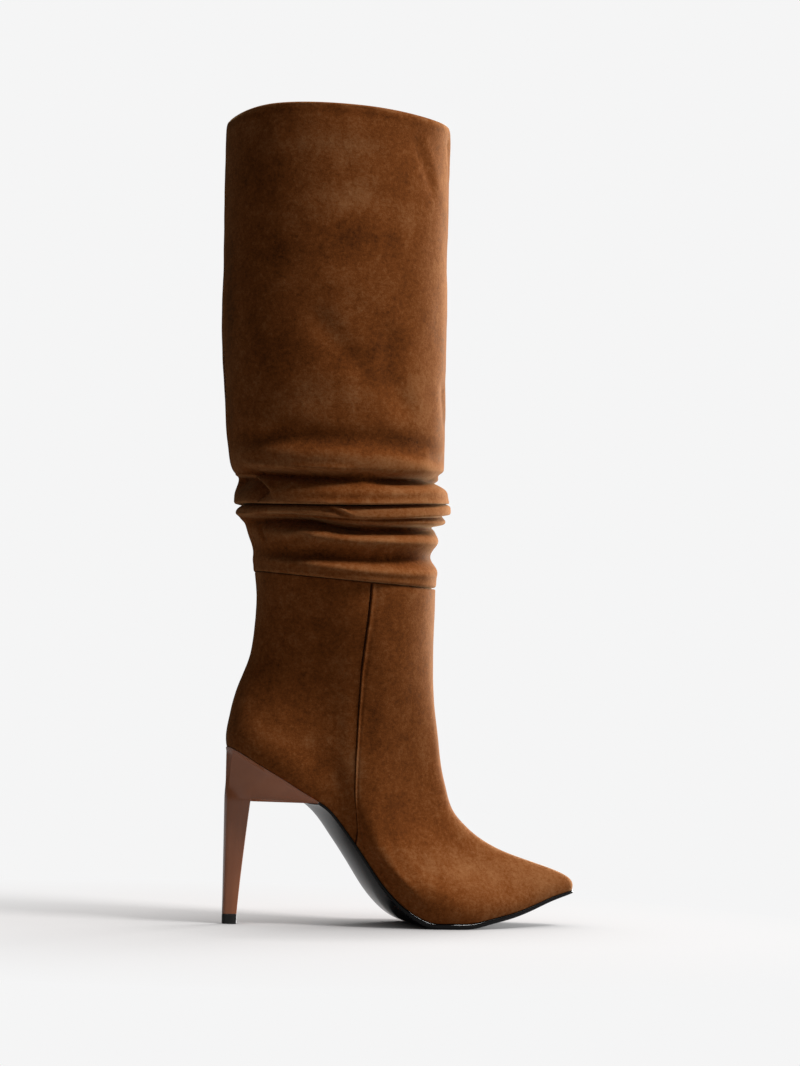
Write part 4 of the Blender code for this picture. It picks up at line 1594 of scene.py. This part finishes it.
def nap_group() -> bpy.types.NodeTree:
    """Suede nap: fine fibres over lighter and darker places: nap marks, painted light and painted
    shade.

    Returns:
        The group.
    """
    nap = Effect("suede_nap", {"Deep": (0.03, 0.01, 0.004, 1.0), "Middle": (0.1, 0.04, 0.015, 1.0),
                               "Light": (0.2, 0.09, 0.04, 1.0), "Brushed": 0.0})
    cloud = nap.noise(nap.stretched(nap.place, 1.0, 1.0, 0.45), 30.0, 5.0, 0.62, 0.6)
    small_cloud = nap.noise(nap.place, 95.0, 3.0, 0.6, 0.6)
    speckle = nap.noise(nap.place, 420.0, 3.0, 0.65)
    streak = nap.noise(nap.stretched(nap.place, 0.6, 0.6, 1.0), 700.0, 2.0, 0.6)
    fibre = nap.noise(nap.place, 1500.0, 3.0, 0.7)
    noises = ((cloud, 1.3), (speckle, 1.5), (small_cloud, 1.2), (streak, 0.7), (fibre, 1.6))
    middle = -0.5 * sum(weight for _, weight in noises)
    # The attribute read here holds nap marks, painted light and painted shade.
    patches = nap.total(middle, (nap.given["Brushed"], 0.75), *noises)
    colour = nap.mix(nap.ramp(patches, 0.0, 1.1), nap.given["Middle"], nap.given["Light"])
    colour = nap.mix(nap.ramp(patches, 0.0, -1.1), colour, nap.given["Deep"])
    height = nap.total(0.0, (fibre, 0.5), (streak, 0.5), (small_cloud, 0.8))
    return nap.close(colour, nap.ramp(patches, -1.0, 1.0, 0.82, 0.98), height)


def pore_group() -> bpy.types.NodeTree:
    """Fine grain for smooth leather, rubber and thread: pores and creases between them.

    Returns:
        The group.
    """
    pores = Effect("pores", {"Scale": 900.0, "Base": (0.2, 0.1, 0.05, 1.0),
                             "Worn": (0.3, 0.16, 0.08, 1.0)})
    cells = pores.add("ShaderNodeTexVoronoi", {"Vector": pores.place, "Scale": pores.given["Scale"]},
                      feature="DISTANCE_TO_EDGE").outputs["Distance"]
    cloud = pores.noise(pores.place, 60.0, 4.0, 0.6, 0.4)
    fine = pores.noise(pores.place, pores.given["Scale"], 2.0)
    colour = pores.mix(pores.ramp(cloud, 0.35, 0.7), pores.given["Base"], pores.given["Worn"])
    height = pores.total(pores.ramp(cells, 0.0, 0.25), (fine, 0.5))
    return pores.close(colour, pores.ramp(cloud, 0.3, 0.7, 0.45, 0.7), height)


def gloss_group() -> bpy.types.NodeTree:
    """Lacquer that is not quite even: slight clouding, smears and hairline rubbing.

    Returns:
        The group.
    """
    gloss = Effect("lacquer", {"Base": (0.08, 0.03, 0.01, 1.0), "Cloud": (0.1, 0.04, 0.02, 1.0),
                               "Smear": 1.0})
    cloud = gloss.noise(gloss.place, 40.0, 3.0, 0.5, 0.3)
    smear = gloss.noise(gloss.stretched(gloss.place, 1.0, 1.0, 0.2), 260.0, 4.0, 0.65)
    hair = gloss.noise(gloss.stretched(gloss.place, 0.12, 1.0, 1.0), 2600.0, 1.0, 0.5)
    colour = gloss.mix(gloss.ramp(cloud, 0.35, 0.7), gloss.given["Base"], gloss.given["Cloud"])
    smeared = gloss.ramp(smear, 0.45, 0.75, 0.16, 0.32)
    rough = gloss.math("MULTIPLY", smeared, gloss.given["Smear"])
    rough = gloss.total(rough, (gloss.ramp(hair, 0.66, 0.74), 0.08))
    return gloss.close(colour, rough, gloss.total(cloud, (smear, 0.12)))


def dressed(name: str, effect: bpy.types.NodeTree, values: dict, bump: float,
            constants: dict) -> bpy.types.Material:
    """A material whose colour, roughness and relief come from an effect group.

    Args:
        name: the material's name.
        effect: the shader group.
        values: the group's inputs, a tuple of three for a colour.
        bump: height of the relief, in metres.
        constants: values on the shader's own sockets.

    Returns:
        The material.
    """
    material, nodes, shader = new_material(name)
    values = {key: (*value, 1.0) if isinstance(value, tuple) else value
              for key, value in values.items()}
    group = nodes.add("ShaderNodeGroup", values, node_tree=effect)
    if "Brushed" in group.inputs:
        # This attribute holds nap marks together with painted light and painted shade.
        spots = nodes.add("ShaderNodeAttribute", attribute_name="brushed").outputs["Fac"]
        nodes.put(group, {"Brushed": spots})
    colour, rough, height = (group.outputs[name] for name in ("Color", "Roughness", "Height"))
    normal = nodes.add("ShaderNodeBump", {"Height": height, "Distance": bump}).outputs["Normal"]
    nodes.put(shader, {"Base Color": colour, "Roughness": rough, "Normal": normal, **constants})
    return material


def new_material(name: str) -> tuple[bpy.types.Material, Nodes, bpy.types.Node]:
    """An empty material, its builder and its Principled shader.

    Args:
        name: the material's name.

    Returns:
        The three of them.
    """
    material = bpy.data.materials.new(name)
    material.use_nodes = True
    return material, Nodes(material.node_tree), material.node_tree.nodes["Principled BSDF"]


@dataclass(frozen=True)
class Suede:
    """Brown suede with lighter and darker places: nap marks, painted light and painted shade."""

    name: str
    deep: Colour = (0.055, 0.0125, 0.0020)
    middle: Colour = (0.212, 0.0580, 0.0115)
    light: Colour = (0.360, 0.150, 0.056)
    bump: float = 0.00022
    sheen: float = 0.24
    sheen_rough: float = 0.45
    sheen_tint: Colour = (1.0, 0.66, 0.32)
    specular: float = 0.03

    def material(self, nap: bpy.types.NodeTree) -> bpy.types.Material:
        """Builds the material.

        Args:
            nap: the nap group.

        Returns:
            The material.
        """
        values = {"Deep": self.deep, "Middle": self.middle, "Light": self.light}
        return dressed(self.name, nap, values, self.bump, {
            "Sheen Weight": self.sheen, "Sheen Roughness": self.sheen_rough,
            "Sheen Tint": (*self.sheen_tint, 1.0), "Specular IOR Level": self.specular})


@dataclass(frozen=True)
class Grained:
    """Smooth leather, rubber or thread, with a fine grain."""

    name: str
    base: Colour
    worn: Colour
    scale: float
    bump: float

    def material(self, pores: bpy.types.NodeTree) -> bpy.types.Material:
        """Builds the material round the pore group."""
        values = {"Scale": self.scale, "Base": self.base, "Worn": self.worn}
        return dressed(self.name, pores, values, self.bump, {})


@dataclass(frozen=True)
class Lacquer:
    """Glossy lacquer with a clear coat."""

    name: str
    base: Colour
    cloud: Colour
    smear: float
    coat: float
    specular: float = 0.5
    bump: float = 0.00003
    coat_rough: float = 0.06

    def material(self, gloss: bpy.types.NodeTree) -> bpy.types.Material:
        """Builds the material.

        Args:
            gloss: the group of slightly uneven lacquer.

        Returns:
            The material.
        """
        values = {"Base": self.base, "Cloud": self.cloud, "Smear": self.smear}
        return dressed(self.name, gloss, values, self.bump, {
            "Specular IOR Level": self.specular, "Coat Weight": self.coat,
            "Coat Roughness": self.coat_rough})


class Lamp(NamedTuple):
    """One soft rectangular light."""

    name: str
    spot: Point
    aim: Point
    size: tuple[float, float]
    power: float


@dataclass
class Studio:
    """Pale floor, soft light and the camera at the photograph's angle."""

    spot: Point = (-0.3784, -1.8621, 0.1416)
    aim: Point = (0.0945, -0.0245, 0.2404)
    roll: float = 0.0272
    lens: float = 104.9
    floor_reach: float = 30.0
    floor_colour: Colour = (0.37, 0.358, 0.355)
    floor_glow: float = 0.47
    floor_bounce: float = 0.34
    shade_reach: float = 0.14
    shade_colour: Colour = (1, 0.993, 0.99)
    room_light: float = 0.042
    lamps: tuple[Lamp, ...] = (
        Lamp("key", (2.25, 1.65, 0.30), (0.06, 0, 0.27), (1.2, 0.6), 170),
        Lamp("top", (0.75, 0.05, 1.70), (0.08, 0, 0.1), (0.9, 0.9), 9),
        Lamp("window", (1.45, -1.2, 3.0), (0.06, 0, 0.15), (0.7, 0.7), 93),
    )

    def camera(self) -> None:
        """Aims the camera at the boot, then rolls it about its own axis."""
        data = bpy.data.cameras.new("camera")
        data.lens = self.lens
        data.sensor_width = 36
        camera = in_scene("camera", data)
        look = (Vector(self.aim) - Vector(self.spot)).normalized()
        frame = look.to_track_quat("-Z", "Y").to_matrix().to_4x4()
        camera.matrix_world = (
            Matrix.Translation(self.spot) @ frame @ Matrix.Rotation(self.roll, 4, "Z"))
        bpy.context.scene.camera = camera

    def lights(self) -> None:
        """Large light from the toe side, weaker light from the front and above."""
        for lamp in self.lamps:
            data = bpy.data.lights.new(lamp.name, "AREA")
            data.shape = "RECTANGLE"
            data.size, data.size_y = lamp.size
            data.energy = lamp.power
            light = in_scene(lamp.name, data)
            light.location = lamp.spot
            light.rotation_mode = "QUATERNION"
            look = Vector(lamp.aim) - Vector(lamp.spot)
            light.rotation_quaternion = look.to_track_quat("-Z", "Y")

    def floor(self) -> None:
        """A wide pale floor that fades into the pale surroundings."""
        mesh = bpy.data.meshes.new("floor")
        corners = [(x * self.floor_reach, y * self.floor_reach, 0)
                   for x, y in ((-1, -1), (1, -1), (1, 1), (-1, 1))]
        mesh.from_pydata(corners, [], [(0, 1, 2, 3)])
        mesh.materials.append(self.floor_material())
        floor = in_scene("floor", mesh)

    def floor_material(self) -> bpy.types.Material:
        """Pale matt floor, shaded where the boot is close and plain paper further out.

        Returns:
            The material.
        """
        material, nodes, shader = new_material("pale_floor")
        place = nodes.add("ShaderNodeTexCoord").outputs["Object"]
        length = nodes.add("ShaderNodeVectorMath", {0: place}, operation="LENGTH").outputs["Value"]
        # Ambient occlusion dims the floor's glow near the boot: a painted contact shadow.
        shade = nodes.add("ShaderNodeAmbientOcclusion", {
            "Distance": self.shade_reach, "Color": (*self.shade_colour, 1)}).outputs["Color"]
        deeper = nodes.add("ShaderNodeGamma", {"Color": shade, "Gamma": 2.0}).outputs["Color"]
        nodes.put(shader, {"Base Color": (*self.floor_colour, 1), "Roughness": 0.7,
                           "Specular IOR Level": 0.05, "Emission Color": deeper,
                           "Emission Strength": self.floor_glow})
        glow = nodes.add("ShaderNodeEmission", {"Color": PAPER, "Strength": 1.0})
        far = nodes.ramp(length, 0.12, 0.42)
        seen = nodes.add("ShaderNodeMixShader", {0: far, 1: shader.outputs[0], 2: glow.outputs[0]})
        dim = nodes.add("ShaderNodeBsdfDiffuse", {"Color": (*[self.floor_bounce] * 3, 1)})
        ray = nodes.add("ShaderNodeLightPath").outputs["Is Camera Ray"]
        blend = nodes.add("ShaderNodeMixShader", {0: ray, 1: dim.outputs[0], 2: seen.outputs[0]})
        nodes.put(nodes.tree.nodes["Material Output"], {"Surface": blend.outputs[0]})
        return material

    def surroundings(self) -> None:
        """Pale surroundings that light the boot only softly."""
        world = bpy.data.worlds.new("surroundings")
        world.use_nodes = True
        bpy.context.scene.world = world
        nodes = Nodes(world.node_tree)
        ray = nodes.add("ShaderNodeLightPath").outputs["Is Camera Ray"]
        colour = nodes.mix(ray, (*[self.room_light] * 3, 1), PAPER)
        nodes.put(world.node_tree.nodes["Background"], {"Color": colour, "Strength": 1.0})
        bpy.context.scene.view_settings.view_transform = "Standard"

    def build(self) -> None:
        """Sets up floor, light and camera."""
        self.floor()
        self.surroundings()
        self.lights()
        self.camera()


def stitch_back_seams(upper: Upper, leg: Leg, thread: bpy.types.Material) -> None:
    """Two rows of stitches beside the closed seam down the back of leg and quarters.

    Args:
        upper: the finished upper.
        leg: the finished leg.
        thread: the thread's finish.
    """
    sunk = 0.00005
    seams = (
        ("quarter", upper, np.linspace(0.6, len(RINGS) - 1.25, 200), math.radians(1.9)),
        ("leg", leg, np.linspace(fold_row("over the folds") + 0.3, 0.12, 400), math.radians(1.5)),
    )
    for side in Side:
        for name, shell, rows, apart in seams:
            columns = Columns.spread(np.array([0.0, apart, apart * 2, math.pi / 2, math.pi]))
            column = 1 if side is Side.OUTER else len(columns.angles) - 1
            grid = shell.grid(rows, columns)
            out = grid_normals(grid)[:, column]
            Thread().along(f"{name}_stitches_{side.name.lower()}", grid[:, column] - out * sunk,
                           out, thread)


def main() -> None:
    """Builds the boot piece by piece."""
    logging.basicConfig(level=logging.INFO, format="%(name)s: %(message)s")
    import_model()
    nap, pores, gloss = nap_group(), pore_group(), gloss_group()
    suede = Suede("brown_suede").material(nap)
    lining, thread, rubber = (Grained(*finish).material(pores) for finish in (
        ("tan_lining", (0.30, 0.16, 0.075), (0.36, 0.20, 0.10), 900.0, 0.00006),
        ("brown_thread", (0.085, 0.034, 0.013), (0.12, 0.05, 0.02), 3000.0, 0.00004),
        ("black_rubber", (0.012, 0.011, 0.010), (0.03, 0.028, 0.026), 2200.0, 0.00004),
    ))
    heel_gloss, sole_gloss = (Lacquer(*finish).material(gloss) for finish in (
        ("brown_lacquer", (0.420, 0.138, 0.056), (0.470, 0.163, 0.070), 0.6, 0.30),
        ("black_lacquer", (0.008, 0.0078, 0.008), (0.011, 0.0105, 0.011), 0.3, 0.0, 0.19),
    ))
    upper = Upper(suede, lining)
    upper.build()
    leg = Leg(suede, lining)
    leg.build()
    Sole(sole_gloss).build()
    Heel(heel_gloss, rubber).build()
    Insole(lining).build()
    stitch_back_seams(upper, leg, thread)
    Studio().build()


if __name__ == "__main__":
    main()
